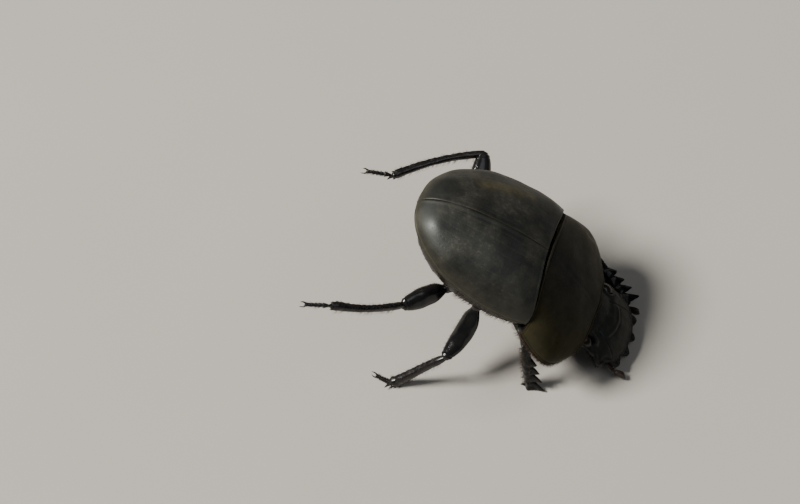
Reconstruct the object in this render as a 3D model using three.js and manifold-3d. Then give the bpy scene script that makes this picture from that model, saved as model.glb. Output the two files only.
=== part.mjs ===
// A ball-rolling dung beetle, life size, in its head-down pushing stance.
// Millimetres, +Z up, the head towards +X. The origin is on the floor, in the middle of the footprint.
// Three frames hold the body: the hind body (elytra, belly), the prothorax and the head, each with
// x forward, y to the beetle's left and z dorsal. Legs are built from their joints in the floor frame.
import * as THREE from 'three';
import { mergeVertices } from 'three/addons/utils/BufferGeometryUtils.js';
import Module from 'manifold-3d';

const wasm = await Module();
wasm.setup();

const { cos, sin, tan, PI } = Math;
const degrees = THREE.MathUtils.degToRad;
const lerp = THREE.MathUtils.lerp;
const vec = (x, y, z) => new THREE.Vector3(x, y, z);

// ---- driving dimensions -------------------------------------------------------------------------
const gap = 0.08; // between touching sub-parts
const footprintMiddle = { x: -5.12, y: -1.64 }; // from below the waist to the middle of the footprint

// The waist is the joint between hind body and prothorax, at the height of the elytral rims.
const waistHeight = 14;
const hindPitch = 29; // head-down lean of the hind body, in degrees
const hind = { length: 16, halfWidth: 8.6, height: 4.8, depth: 4.5, shoulderAdvance: 1.95 };
const elytronThickness = 0.8;
const bellyInset = 0.4; // the belly rim lies this far inside the elytral rim
const metasternumEnd = -7.4; // where the thorax ends and the abdomen starts
const pygidiumStart = -13.4;

const prothorax = { pitch: 22, turn: -1.5, x: 0.4, z: -0.85 }; // relative to the hind body
const pronotum = { length: 10, halfWidth: 9.3, height: 4.7, rim: 0.3, frontAdvance: 1.1 };
const prosternumDepth = 3.7;

const head = { x: 13, z: 1.75, pitch: -9, turn: -5, halfWidth: 4.75, front: 4.1, rear: 2.4, dome: 1.25 };
const cranium = { x: -2.1, z: -0.35, radii: [2.9, 3.9, 1.75] };
const headTooth = { length: 0.75, halfAngle: 8.5 };
const headTeeth = [-76, -42, -14, 14, 42, 76]; // two genal and four clypeal teeth, in degrees
const eye = { x: -1.7, y: 3.85, z: 0.1, radii: [1.05, 0.8, 0.75] };

// The right antenna is stretched forward past the shovel, the left one lies under its edge.
const antenna = { radius: 0.25, bead: 0.29, beads: 4 };
const antennaPose = {
  left: { root: [1.0, 2.6, -0.9], elbow: [1.9, 4.2, -0.95], neck: [2.6, 4.6, -0.8], club: [0.7, 0.05, 0.6] },
  right: { root: [1.3, -2.3, -0.9], elbow: [2.8, -3.4, -0.9], neck: [4, -4, -0.6], club: [1, 0.1, 0.35] },
};
const antennaClub = { length: 1.5, halfWidth: 0.55, halfThickness: 0.42 };
const clubGap = 0.14;
const chin = { x: -0.6, z: -2.05, radii: [1.9, 1.5, 0.5] };
const palp = { root: [0.2, 0.9, -2.1], tip: [1.9, 1.9, -1.95], radius: 0.3 };

const legSections = {
  fore: { coxa: [1.5, 1.3, 2.3], femur: [1.35, 0.85] },
  mid: { coxa: [1.0, 2.3, 1.1], femur: [1.2, 0.85], tibia: [0.72, 0.5] },
  hind: { coxa: [1.0, 2.7, 1.1], femur: [1.25, 0.8], tibia: [0.5, 0.42] },
};
const tarsus = { halfWidth: 0.33, waist: 0.25, flatness: 0.85, joints: [0, 0.26, 0.44, 0.6, 0.76, 1] };
const claw = { length: 0.9, radius: 0.2, spread: 0.45, sunk: 0.15 };
const spur = { length: 1.5, radius: 0.26 };
const ankleGap = 0.38; // from the end of the tibia to the first tarsal joint
const hindTibiaBow = 0.5; // the hind tibia curves round what it holds
const femurBow = { fore: 0, mid: 0.75, hind: 0 };

// Joints of each leg in millimetres from below the waist: where the femur leaves the body is worked
// out from the coxa; knee, ankle (end of the tibia) and toe are the pose.
const legPose = {
  fore_left: { knee: [5.9, 8.6, 4.1], ankle: [11.0, 5.3, -0.1] },
  fore_right: { knee: [1.4, -7.7, 8.0], ankle: [2.6, -8.9, -0.1] },
  mid_left: { knee: [-7.4, 10.6, 5.4], ankle: [-13.4, 12.9, 0.3], toe: [-15.6, 12.6, 0.24] },
  mid_right: { knee: [-7.6, -10.5, 5.4], ankle: [-13.4, -12.9, 0.3], toe: [-15.5, -12.4, 0.24] },
  hind_left: { knee: [-8.9, 11.6, 16.4], ankle: [-18.2, 5.0, 17.8], toe: [-21.2, 4.2, 18.7] },
  hind_right: { knee: [-12.8, -10.6, 15.8], ankle: [-19.8, -15.9, 21.4], toe: [-22.7, -16.8, 21.9] },
};
const coxaPlaces = {
  fore: { frame: 'prothorax', x: 6.2, y: 2.2, z: -3.0, slant: 0 },
  mid: { frame: 'hind', x: -2.9, y: 4.1, z: -3.9, slant: 30 },
  hind: { frame: 'hind', x: -7.0, y: 4.0, z: -3.7, slant: 8 },
};

// ---- materials ----------------------------------------------------------------------------------
const finishes = {
  dorsal_shell: { color: 0x2b2b26, roughness: 0.55, metalness: 0 },
  ventral_shell: { color: 0x14120f, roughness: 0.35, metalness: 0 },
  leg_shell: { color: 0x0d0d0e, roughness: 0.25, metalness: 0 },
  eye_shell: { color: 0x17110c, roughness: 0.15, metalness: 0 },
  antenna_shell: { color: 0x3a1f12, roughness: 0.5, metalness: 0 },
};

const model = new THREE.Group();

function addPart(parent, name, geometry, finish) {
  const mesh = new THREE.Mesh(geometry, new THREE.MeshStandardMaterial(finishes[finish]));
  mesh.name = name;
  parent.add(mesh);
  return mesh;
}

// ---- closed meshes ------------------------------------------------------------------------------
// Welds shared points, drops collapsed faces and turns the faces outwards.
function closedGeometry(points, faces) {
  const raw = new THREE.BufferGeometry();
  raw.setAttribute('position', new THREE.Float32BufferAttribute(points.flatMap((p) => [p.x, p.y, p.z]), 3));
  raw.setIndex(faces.flat());
  return weld(raw);
}

function weld(raw) {
  raw.deleteAttribute('normal');
  raw.deleteAttribute('uv');
  const merged = mergeVertices(raw, 1e-4);
  const at = merged.attributes.position;
  const corner = (i) => vec(at.getX(i), at.getY(i), at.getZ(i));
  const kept = [];
  let volume = 0;
  for (let i = 0; i < merged.index.count; i += 3) {
    const [a, b, c] = [0, 1, 2].map((k) => merged.index.getX(i + k));
    if (a === b || b === c || c === a) continue;
    kept.push([a, b, c]);
    volume += corner(a).dot(corner(b).cross(corner(c)));
  }
  const facing = volume < 0 ? kept.map(([a, b, c]) => [a, c, b]) : kept;
  merged.setIndex(facing.flat());
  return merged;
}

// A plate between two surfaces over the same (u, v) square, closed by four narrow walls.
function plateBetween(outer, inner, uSteps, vSteps) {
  const points = [];
  const faces = [];
  const index = (layer, i, j) => layer * (uSteps + 1) * (vSteps + 1) + i * (vSteps + 1) + j;
  for (const surface of [outer, inner]) {
    for (let i = 0; i <= uSteps; i += 1) {
      for (let j = 0; j <= vSteps; j += 1) points.push(surface(i / uSteps, j / vSteps));
    }
  }
  const quad = (a, b, c, d) => faces.push([a, b, c], [a, c, d]);
  for (let i = 0; i < uSteps; i += 1) {
    for (let j = 0; j < vSteps; j += 1) {
      quad(index(0, i, j), index(0, i + 1, j), index(0, i + 1, j + 1), index(0, i, j + 1));
      quad(index(1, i, j), index(1, i, j + 1), index(1, i + 1, j + 1), index(1, i + 1, j));
    }
  }
  for (let i = 0; i < uSteps; i += 1) {
    quad(index(0, i, 0), index(1, i, 0), index(1, i + 1, 0), index(0, i + 1, 0));
    quad(index(0, i, vSteps), index(0, i + 1, vSteps), index(1, i + 1, vSteps), index(1, i, vSteps));
  }
  for (let j = 0; j < vSteps; j += 1) {
    quad(index(0, 0, j), index(0, 0, j + 1), index(1, 0, j + 1), index(1, 0, j));
    quad(index(0, uSteps, j), index(1, uSteps, j), index(1, uSteps, j + 1), index(0, uSteps, j + 1));
  }
  return closedGeometry(points, faces);
}

// Rings of equal count joined into one closed body, with a fan over each end.
function loftRings(rings) {
  const count = rings[0].length;
  const points = rings.flat();
  const faces = [];
  for (let r = 0; r + 1 < rings.length; r += 1) {
    for (let k = 0; k < count; k += 1) {
      const next = (k + 1) % count;
      const [a, b] = [r * count + k, r * count + next];
      faces.push([a, b, b + count], [a, b + count, a + count]);
    }
  }
  const cap = (start, flipped) => {
    for (let k = 1; k + 1 < count; k += 1) {
      faces.push(flipped ? [start, start + k + 1, start + k] : [start, start + k, start + k + 1]);
    }
  };
  cap(0, true);
  cap((rings.length - 1) * count, false);
  return closedGeometry(points, faces);
}

// A limb from start to end: [place, half width, half thickness] stations, broad along `broad`,
// bowed sideways by `bow` millimetres at its middle, along the thin direction.
function limb({ start, end, broad, stations, bow = 0, sides = 10, grow = 0 }) {
  const axis = end.clone().sub(start).normalize();
  const wide = broad.clone().addScaledVector(axis, -broad.dot(axis)).normalize();
  const thin = axis.clone().cross(wide);
  const from = start.clone().addScaledVector(axis, -grow);
  const to = end.clone().addScaledVector(axis, grow);
  const rings = stations.map(([place, halfWidth, halfThickness]) => {
    const centre = from.clone().lerp(to, place).addScaledVector(thin, bow * sin(PI * place));
    return Array.from({ length: sides }, (_, k) => {
      const angle = (2 * PI * (k + 0.5)) / sides;
      const out = centre.clone().addScaledVector(wide, (halfWidth + grow) * cos(angle));
      return out.addScaledVector(thin, (halfThickness + grow) * sin(angle));
    });
  });
  return loftRings(rings);
}

function ellipsoid(centre, radii, { grow = 0, turn = null, columns = 12, rows = 8 } = {}) {
  const shape = new THREE.SphereGeometry(1, columns, rows);
  shape.scale(...radii.map((r) => r + grow));
  if (turn) shape.applyQuaternion(turn);
  shape.translate(centre.x, centre.y, centre.z);
  return weld(shape);
}

function box(low, high) {
  const shape = new THREE.BoxGeometry(high.x - low.x, high.y - low.y, high.z - low.z);
  shape.translate((low.x + high.x) / 2, (low.y + high.y) / 2, (low.z + high.z) / 2);
  return weld(shape);
}

// ---- cutting and joining ------------------------------------------------------------------------
function solidOf(geometry) {
  return new wasm.Manifold(new wasm.Mesh({
    numProp: 3,
    vertProperties: new Float32Array(geometry.attributes.position.array),
    triVerts: new Uint32Array(geometry.index.array),
  }));
}

function geometryOf(solid) {
  const { vertProperties, triVerts } = solid.getMesh();
  const geometry = new THREE.BufferGeometry();
  geometry.setAttribute('position', new THREE.BufferAttribute(new Float32Array(vertProperties), 3));
  geometry.setIndex(new THREE.BufferAttribute(new Uint32Array(triVerts), 1));
  return geometry;
}

function join(...geometries) {
  return geometryOf(geometries.map(solidOf).reduce((whole, piece) => whole.add(piece)));
}

function cut(geometry, ...tools) {
  return geometryOf(tools.map(solidOf).reduce((rest, tool) => rest.subtract(tool), solidOf(geometry)));
}

function keepInside(geometry, tool) {
  return geometryOf(solidOf(geometry).intersect(solidOf(tool)));
}

// ---- hind body ----------------------------------------------------------------------------------
// `place` runs from 0 at the waist to 1 at the tip.
const widestPlace = 0.28;

function hindPlan(place) {
  if (place < widestPlace) return 1 - 0.07 * ((widestPlace - place) / widestPlace) ** 2;
  const rest = (place - widestPlace) / (1 - widestPlace);
  return Math.sqrt(Math.max(0, 1 - rest ** 2.2));
}

function hindCrown(place) {
  if (place < 0.3) return 0.9 + 0.1 * sin((PI / 2) * (place / 0.3));
  return Math.sqrt(Math.max(0, 1 - ((place - 0.3) / 0.7) ** 2.4));
}

function hindPoint(place, y, z, inset) {
  const advance = hind.shoulderAdvance * (y / hind.halfWidth) ** 2 * (1 - place);
  return vec(advance - (hind.length - inset) * place, y, z);
}

// The elytral dome, or the same dome drawn in by `inset`. The angle runs from the left rim, 0, over
// the back to the right rim, 180 degrees.
function domePoint(place, angle, inset) {
  const y = (hind.halfWidth - inset) * hindPlan(place) * cos(angle);
  const z = (hind.height - inset) * hindCrown(place) * sin(angle) ** 0.9;
  return hindPoint(place, y, z, inset);
}

const denseAtTip = (u) => sin((PI / 2) * u);

function elytron(side) {
  const shift = vec(0, (side * gap) / 2, 0);
  const surface = (inset) => (u, v) => {
    const angle = side > 0 ? (v * PI) / 2 : PI - (v * PI) / 2;
    return domePoint(denseAtTip(u), angle, inset).add(shift);
  };
  return plateBetween(surface(0), surface(elytronThickness), 13, 8);
}

// The belly fills the elytra from below and carries the six sternites as shallow steps.
const sternite = { first: 0.46, last: 0.97, count: 6, step: 0.16 };

function sterniteStep(place) {
  const run = ((place - sternite.first) / (sternite.last - sternite.first)) * sternite.count;
  if (run <= 0 || run >= sternite.count) return 0;
  return sternite.step * (run - Math.floor(run));
}

function bellyPoint(place, angle, grow) {
  const y = (hind.halfWidth - bellyInset + grow) * hindPlan(place) * cos(angle);
  const depth = hind.depth * Math.sqrt(Math.max(0, 1 - place ** 5)) * (0.93 + 0.07 * sin(PI * place));
  const z = -gap - (depth + grow - sterniteStep(place)) * sin(angle) ** 0.7;
  return hindPoint(place, y, z, elytronThickness);
}

function belly(grow = 0) {
  const inside = elytronThickness + 1.5 * gap;
  const top = (u, v) => domePoint(denseAtTip(u), v * PI, inside);
  const bottom = (u, v) => bellyPoint(denseAtTip(u), v * PI, grow);
  return plateBetween(top, bottom, 12, 11);
}

// ---- prothorax ----------------------------------------------------------------------------------
// `place` runs from 0 at the rear edge to 1 at the front edge. The rear face follows the waist.
function prothoraxPoint(place, y, z) {
  const across = (y / pronotum.halfWidth) ** 2;
  const rear = hind.shoulderAdvance * (y / hind.halfWidth) ** 2 - z * tan(degrees(prothorax.pitch));
  return vec(pronotum.length * place + (1 - place) * rear + place * pronotum.frontAdvance * across, y, z);
}

function prothoraxPlan(place) {
  if (place < 0.42) return 0.9 + 0.1 * sin((PI / 2) * (place / 0.42));
  return 1 - 0.36 * ((place - 0.42) / 0.58) ** 2.2;
}

function pronotumDome(place, angle) {
  const y = pronotum.halfWidth * prothoraxPlan(place) * cos(angle);
  const z = pronotum.height * (1 - 0.36 * place ** 1.8) * sin(angle) ** 0.9;
  return prothoraxPoint(place, y, z);
}

function rimPoint(place, angle, z, inset) {
  return prothoraxPoint(place, (pronotum.halfWidth * prothoraxPlan(place) - inset) * cos(angle), z);
}

function pronotumPlate() {
  const under = (u, v) => rimPoint(u, v * PI, -pronotum.rim, 0);
  return plateBetween((u, v) => pronotumDome(u, v * PI), under, 8, 14);
}

function prosternum(grow = 0) {
  const top = (u, v) => rimPoint(u, v * PI, -pronotum.rim - gap, 0.25);
  const bottom = (u, v) => {
    const depth = (prosternumDepth + grow) * (1 - 0.7 * u ** 1.6) * sin(v * PI) ** 1.8;
    return rimPoint(u, v * PI, -pronotum.rim - gap - 0.15 - depth, 0.3 - grow);
  };
  return plateBetween(top, bottom, 6, 10);
}

// ---- head ---------------------------------------------------------------------------------------
function headRadius(angle) {
  const power = 2.3;
  const ahead = Math.abs(cos(angle)) / (cos(angle) > 0 ? head.front : head.rear);
  const aside = Math.abs(sin(angle)) / head.halfWidth;
  return (ahead ** power + aside ** power) ** (-1 / power);
}

// Outline corners of the shovel: three to each tooth, a hollow between teeth, an even arc behind.
function headOutline() {
  const corners = [];
  for (const middle of headTeeth) {
    corners.push([middle - headTooth.halfAngle, 0.1]);
    corners.push([middle - headTooth.halfAngle * 0.35, headTooth.length * 0.93]);
    corners.push([middle + headTooth.halfAngle * 0.35, headTooth.length * 0.93]);
    corners.push([middle + headTooth.halfAngle, 0.1]);
  }
  for (const middle of [-59, -28, 0, 28, 59]) corners.push([middle, 0]);
  for (let angle = 100; angle <= 260; angle += 20) corners.push([angle, 0]);
  return corners.sort((a, b) => a[0] - b[0]);
}

function headShovel() {
  const outline = headOutline();
  const rise = (share) => head.dome * (1 - share ** 2) ** 0.8;
  const layers = [];
  const layer = (share, z) => layers.push(outline.map(([turn, tooth]) => {
    const angle = degrees(turn);
    const reach = share * headRadius(angle) + (share === 1 ? tooth : 0);
    return vec(reach * cos(angle), reach * sin(angle), z);
  }));
  for (const share of [0.42, 0.78]) layer(share, 0.18 + rise(share));
  layer(1, 0.22);
  layer(1, -0.28);
  layer(0.8, -0.55);
  layer(0.4, -0.8);
  return loftRings(layers);
}

function craniumShape(grow = 0) {
  return ellipsoid(vec(cranium.x, 0, cranium.z), cranium.radii, { grow, columns: 14, rows: 8 });
}

function headShape() {
  const sockets = [1, -1].map((side) => eyeball(side, gap));
  return cut(join(headShovel(), craniumShape()), ...sockets);
}

function eyeball(side, grow = 0) {
  return ellipsoid(vec(eye.x, side * eye.y, eye.z - 0.1), eye.radii, { grow, columns: 12, rows: 6 });
}

// ---- frames of the three body regions -----------------------------------------------------------
const hindFrame = new THREE.Group();
hindFrame.position.set(-footprintMiddle.x, -footprintMiddle.y, waistHeight);
hindFrame.rotation.y = degrees(hindPitch);
const prothoraxFrame = new THREE.Group();
prothoraxFrame.position.set(prothorax.x, 0, prothorax.z);
prothoraxFrame.rotation.set(0, degrees(prothorax.pitch), degrees(prothorax.turn), 'ZYX');
const headFrame = new THREE.Group();
headFrame.position.set(head.x, 0, head.z);
headFrame.rotation.set(0, degrees(head.pitch), degrees(head.turn), 'ZYX');
model.add(hindFrame);
hindFrame.add(prothoraxFrame);
prothoraxFrame.add(headFrame);
model.updateMatrixWorld(true);

function floorPoint([x, y, z]) {
  return vec(x - footprintMiddle.x, y - footprintMiddle.y, z);
}

// ---- legs ---------------------------------------------------------------------------------------
const frames = { hind: hindFrame, prothorax: prothoraxFrame };

function coxaShape(pair, side, grow = 0) {
  const place = coxaPlaces[pair];
  const centre = vec(place.x, side * place.y, place.z);
  const turn = new THREE.Quaternion().setFromAxisAngle(vec(0, 0, 1), degrees(side * place.slant));
  return ellipsoid(centre, legSections[pair].coxa, { grow, turn, columns: 10, rows: 6 });
}

// The femur leaves the lower half of the coxa, on the side that faces the knee.
const hipReach = 0.9;

function hipPoint(pair, side, knee) {
  const place = coxaPlaces[pair];
  const [, wide, deep] = legSections[pair].coxa;
  const outwards = pair === 'fore' ? 0 : wide * 0.5;
  const local = vec(place.x, side * (place.y + outwards), place.z - deep * 0.6);
  const root = frames[place.frame].localToWorld(local);
  return root.addScaledVector(knee.clone().sub(root).normalize(), hipReach);
}

const floorSlab = box(vec(-60, -60, -8), vec(60, 60, 0));

function femurShape(pair, side, hip, knee, up, grow = 0) {
  const [wide, thick] = legSections[pair].femur;
  const stations = [
    [0, 0.45, 0.4], [0.06, 0.62, 0.5], [0.2, 0.85 * wide, 0.85 * thick], [0.42, wide, thick],
    [0.66, 0.95 * wide, 0.92 * thick], [0.86, 0.74 * wide, 0.75 * thick], [0.96, 0.58 * wide, 0.6 * thick],
    [1, 0.4 * wide, 0.42 * thick],
  ];
  return limb({ start: hip, end: knee, broad: up, stations, bow: side * femurBow[pair], sides: 8, grow });
}

// The digging tibia of the fore leg: a broad blade with four outer teeth and a spur within.
const foreTeeth = [0.4, 0.58, 0.76, 0.95];
const foreToothReach = 1.75;
const bladeThickness = 0.36;

function foreTibia(knee, ankle, outward) {
  const length = knee.distanceTo(ankle);
  const outline = new THREE.Shape();
  outline.moveTo(0, -0.42);
  outline.quadraticCurveTo(length * 0.5, -0.95, length, -0.62);
  outline.lineTo(length, 0.3);
  foreTeeth.slice().reverse().forEach((place, k) => {
    const reach = foreToothReach - 0.22 * k;
    outline.lineTo(length * place + 0.32, reach);
    outline.lineTo(length * place + 0.1, reach + 0.12);
    outline.lineTo(length * (place - 0.1), 0.55);
  });
  outline.lineTo(0, 0.42);
  outline.closePath();
  const rounding = { bevelThickness: 0.16, bevelSize: 0.12, bevelSegments: 1, curveSegments: 5 };
  const flat = new THREE.ExtrudeGeometry(outline, { depth: bladeThickness, ...rounding });
  const blade = weld(flat.translate(0, 0, -bladeThickness / 2));
  const rib = limb({
    start: vec(-0.1, 0, 0), end: vec(length * 0.97, -0.15, 0), broad: vec(0, 1, 0), sides: 6,
    stations: [[0, 0.42, 0.4], [0.12, 0.62, 0.55], [0.5, 0.6, 0.5], [0.85, 0.5, 0.42], [1, 0.3, 0.26]],
  });
  const innerSpur = limb({
    start: vec(length * 0.93, -0.5, 0), end: vec(length * 1.06, -1.35, 0), broad: vec(0, 0, 1), sides: 6,
    stations: [[0, 0.26, 0.26], [0.6, 0.25, 0.25], [1, 0.12, 0.12]],
  });
  return placeAlong(join(blade, rib, innerSpur), knee, ankle, outward);
}

// Moves a shape drawn along +x, its outer edge towards +y, onto the line from start to end.
function placeAlong(geometry, start, end, outward) {
  const axis = end.clone().sub(start).normalize();
  const outer = outward.clone().addScaledVector(axis, -outward.dot(axis)).normalize();
  const matrix = new THREE.Matrix4().makeBasis(axis, outer, axis.clone().cross(outer)).setPosition(start);
  return geometry.applyMatrix4(matrix);
}

// The walking tibia of the mid and hind legs: slender, flared at its end, with one long spur.
function walkingTibia(pair, knee, ankle, broad, bow, towardToe) {
  const [wide, thick] = legSections[pair].tibia;
  const stations = [
    [0, 0.36, 0.34], [0.05, 0.44, 0.4], [0.3, 0.62 * wide + 0.12, 0.8 * thick],
    [0.6, 0.8 * wide, 0.92 * thick], [0.88, wide, thick], [0.97, 1.08 * wide, thick],
    [1, 0.8 * wide, 0.75 * thick],
  ];
  const shank = limb({ start: knee, end: ankle, broad, stations, bow, sides: 8 });
  const root = knee.clone().lerp(ankle, 0.95);
  const along = ankle.clone().sub(knee).normalize();
  const away = along.clone().addScaledVector(towardToe, -0.35);
  away.z = Math.max(away.z, 0);
  const tip = root.clone().addScaledVector(away.normalize(), spur.length);
  const thorn = limb({
    start: root, end: tip, broad, sides: 6,
    stations: [[0, spur.radius, spur.radius], [0.7, 0.8 * spur.radius, 0.8 * spur.radius], [1, 0.1, 0.1]],
  });
  return join(shank, thorn);
}

// Five bead-like joints, the last one longest, and two curved claws.
function tarsusShape(ankle, toe, broad) {
  const { joints, halfWidth, waist } = tarsus;
  const stations = [];
  for (let k = 0; k + 1 < joints.length; k += 1) {
    stations.push([joints[k], waist, waist * tarsus.flatness]);
    stations.push([lerp(joints[k], joints[k + 1], 0.8), halfWidth, halfWidth * tarsus.flatness]);
  }
  stations.push([1, waist, waist * tarsus.flatness]);
  const chain = limb({ start: ankle, end: toe, broad, stations, sides: 5 });
  const axis = toe.clone().sub(ankle).normalize();
  const wide = broad.clone().addScaledVector(axis, -broad.dot(axis)).normalize();
  const { length, radius, spread, sunk } = claw;
  const claws = [1, -1].map((side) => {
    const root = toe.clone().addScaledVector(axis, -sunk).addScaledVector(wide, side * sunk * 0.5);
    const tip = root.clone().addScaledVector(axis, length).addScaledVector(wide, side * spread);
    const taper = [[0, radius, radius], [0.5, 0.9 * radius, 0.9 * radius], [1, 0.45 * radius, 0.45 * radius]];
    return limb({ start: root, end: tip, broad: wide, stations: taper, sides: 4 });
  });
  return join(chain, ...claws);
}

// ---- antennae and mouthparts --------------------------------------------------------------------
const dorsal = vec(0, 0, 1);

function antennaShape(pose) {
  const [root, elbow, neck] = [pose.root, pose.elbow, pose.neck].map((point) => vec(...point));
  const { radius, bead } = antenna;
  const scape = limb({
    start: root, end: elbow, broad: dorsal, sides: 6,
    stations: [[0, radius, radius], [0.7, bead, bead], [1, radius, radius]],
  });
  const beads = [[0, radius, radius]];
  for (let k = 0; k < antenna.beads; k += 1) {
    beads.push([(k + 0.6) / antenna.beads, bead, bead], [(k + 1) / antenna.beads, radius, radius]);
  }
  return join(scape, limb({ start: elbow, end: neck, broad: dorsal, stations: beads, sides: 6 }));
}

function antennaClubShape(pose) {
  const clubAxis = vec(...pose.club).normalize();
  const start = vec(...pose.neck).addScaledVector(clubAxis, clubGap);
  const end = start.clone().addScaledVector(clubAxis, antennaClub.length);
  const { halfWidth, halfThickness } = antennaClub;
  const stations = [
    [0, antenna.radius, antenna.radius], [0.2, 0.8 * halfWidth, 0.9 * halfThickness],
    [0.55, halfWidth, halfThickness], [0.85, 0.8 * halfWidth, 0.85 * halfThickness],
    [1, 0.35 * halfWidth, 0.35 * halfThickness],
  ];
  return limb({ start, end, broad: dorsal, stations, sides: 8 });
}

function mouthShape() {
  const plate = ellipsoid(vec(chin.x, 0, chin.z), chin.radii, { columns: 8, rows: 4 });
  const at = ([x, y, z], side) => vec(x, side * y, z);
  const swelling = [[0, 0.85], [0.45, 1], [0.55, 0.87], [0.85, 1], [1, 0.67]];
  const stations = swelling.map(([place, share]) => [place, share * palp.radius, share * palp.radius]);
  const palps = [1, -1].map((side) => limb({
    start: at(palp.root, side), end: at(palp.tip, side), broad: dorsal, stations, sides: 5,
  }));
  return join(plate, ...palps);
}

// ---- assembly -----------------------------------------------------------------------------------
for (const [name, side] of [['left', 1], ['right', -1]]) {
  addPart(hindFrame, `elytron_${name}`, elytron(side), 'dorsal_shell');
}

const hindSockets = ['mid', 'hind'].flatMap((pair) => [1, -1].map((side) => coxaShape(pair, side, gap)));
const whole = cut(belly(), ...hindSockets);
const beyond = 20;
const slice = (from, to) => box(vec(from, -beyond, -beyond), vec(to, beyond, beyond));
const frontBlock = slice(metasternumEnd + gap / 2, beyond);
const middleBlock = slice(pygidiumStart + gap / 2, metasternumEnd - gap / 2);
const rearBlock = slice(-beyond, pygidiumStart - gap / 2);
addPart(hindFrame, 'thorax_under', keepInside(whole, frontBlock), 'ventral_shell');
addPart(hindFrame, 'abdomen', keepInside(whole, middleBlock), 'ventral_shell');
addPart(hindFrame, 'pygidium', keepInside(whole, rearBlock), 'ventral_shell');

const neckGap = 0.12;
const headHollows = [craniumShape(neckGap), eyeball(1, neckGap), eyeball(-1, neckGap)];
for (const hollow of headHollows) hollow.applyMatrix4(headFrame.matrix);
const foreSockets = [1, -1].map((side) => coxaShape('fore', side, gap));
addPart(prothoraxFrame, 'pronotum', cut(pronotumPlate(), ...headHollows), 'dorsal_shell');
addPart(prothoraxFrame, 'prosternum', cut(prosternum(), ...headHollows, ...foreSockets), 'ventral_shell');

addPart(headFrame, 'head', headShape(), 'dorsal_shell');
for (const [name, side] of [['left', 1], ['right', -1]]) {
  addPart(headFrame, `eye_${name}`, eyeball(side), 'eye_shell');
  addPart(headFrame, `antenna_${name}`, antennaShape(antennaPose[name]), 'antenna_shell');
  addPart(headFrame, `antenna_club_${name}`, antennaClubShape(antennaPose[name]), 'antenna_shell');
}
const mouth = cut(mouthShape().translate(0, 0, gap), headShape()).translate(0, 0, -gap);
addPart(headFrame, 'mouthparts', mouth, 'ventral_shell');

for (const [name, pose] of Object.entries(legPose)) {
  const [pair, sideName] = name.split('_');
  const side = sideName === 'left' ? 1 : -1;
  const frame = frames[coxaPlaces[pair].frame];
  const knee = floorPoint(pose.knee);
  const hip = hipPoint(pair, side, knee);
  const ankle = floorPoint(pose.ankle);
  const coxa = coxaShape(pair, side);
  const coxaInFloorFrame = coxaShape(pair, side, gap).applyMatrix4(frame.matrixWorld);
  addPart(frame, `coxa_${name}`, coxa, 'leg_shell');

  const bodyAround = (pair === 'fore' ? prosternum(gap) : belly(gap)).applyMatrix4(frame.matrixWorld);
  const swing = ankle.clone().sub(knee).normalize();
  const femurUp = swing.clone().negate();
  const femur = cut(femurShape(pair, side, hip, knee, femurUp), coxaInFloorFrame, bodyAround);
  const kneeSocket = femurShape(pair, side, hip, knee, femurUp, gap);
  addPart(model, `femur_${name}`, femur, 'leg_shell');

  if (pair === 'fore') {
    const outward = vec(1, side * 0.15, 0.1);
    const blade = cut(foreTibia(knee, ankle, outward), floorSlab, kneeSocket, bodyAround);
    addPart(model, `tibia_${name}`, blade, 'leg_shell');
    continue;
  }
  const toe = floorPoint(pose.toe);
  const towardToe = toe.clone().sub(ankle).normalize();
  const broad = vec(0, 0, 1);
  const bow = pair === 'hind' ? hindTibiaBow * side : 0;
  const shank = walkingTibia(pair, knee, ankle, broad, bow, towardToe);
  addPart(model, `tibia_${name}`, cut(shank, floorSlab, kneeSocket), 'leg_shell');
  const heel = ankle.clone().addScaledVector(towardToe, ankleGap);
  addPart(model, `tarsus_${name}`, cut(tarsusShape(heel, toe, broad), floorSlab), 'leg_shell');
}

export default model;
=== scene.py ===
"""The looks of a ball-rolling dung beetle, head down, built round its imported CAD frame.

Lengths are in millimetres until a mesh is made, which turns them into metres. Pitches, turns and slants
are in degrees. Three frames hold the body, as in the CAD part: the hind body, the prothorax and the
head, each with x forward, y to the beetle's left and z dorsal. Legs are built in the floor frame from
their joints.
"""

import bmesh
import bpy
import numpy as np
from mathutils import Matrix, Vector


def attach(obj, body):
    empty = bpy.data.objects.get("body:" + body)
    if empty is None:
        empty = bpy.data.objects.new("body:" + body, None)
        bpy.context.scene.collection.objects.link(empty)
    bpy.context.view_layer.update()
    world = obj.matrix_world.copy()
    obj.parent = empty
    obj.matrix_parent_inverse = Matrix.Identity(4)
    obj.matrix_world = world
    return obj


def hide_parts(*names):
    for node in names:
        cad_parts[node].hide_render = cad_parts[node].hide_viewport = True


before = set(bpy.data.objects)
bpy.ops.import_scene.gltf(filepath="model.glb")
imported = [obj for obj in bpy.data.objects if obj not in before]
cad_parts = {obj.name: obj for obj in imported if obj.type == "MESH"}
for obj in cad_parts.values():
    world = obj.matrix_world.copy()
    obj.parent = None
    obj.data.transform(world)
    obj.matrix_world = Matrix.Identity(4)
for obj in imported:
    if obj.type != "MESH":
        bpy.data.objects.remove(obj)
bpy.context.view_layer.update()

MM = 0.001
PI = np.pi
UP = (0, 0, 1)
SIDES = {"left": 1, "right": -1}

# ---- driving dimensions ----
WAIST = (5.12, 1.64, 14.0)  # below the middle of the back, from the floor's origin
HIND_PITCH = 29
PROTHORAX = {"pitch": 22, "turn": -1.5, "at": (0.4, 0, -0.85)}
HEAD = {"pitch": -9, "turn": -5, "at": (13, 0, 1.75)}

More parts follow.
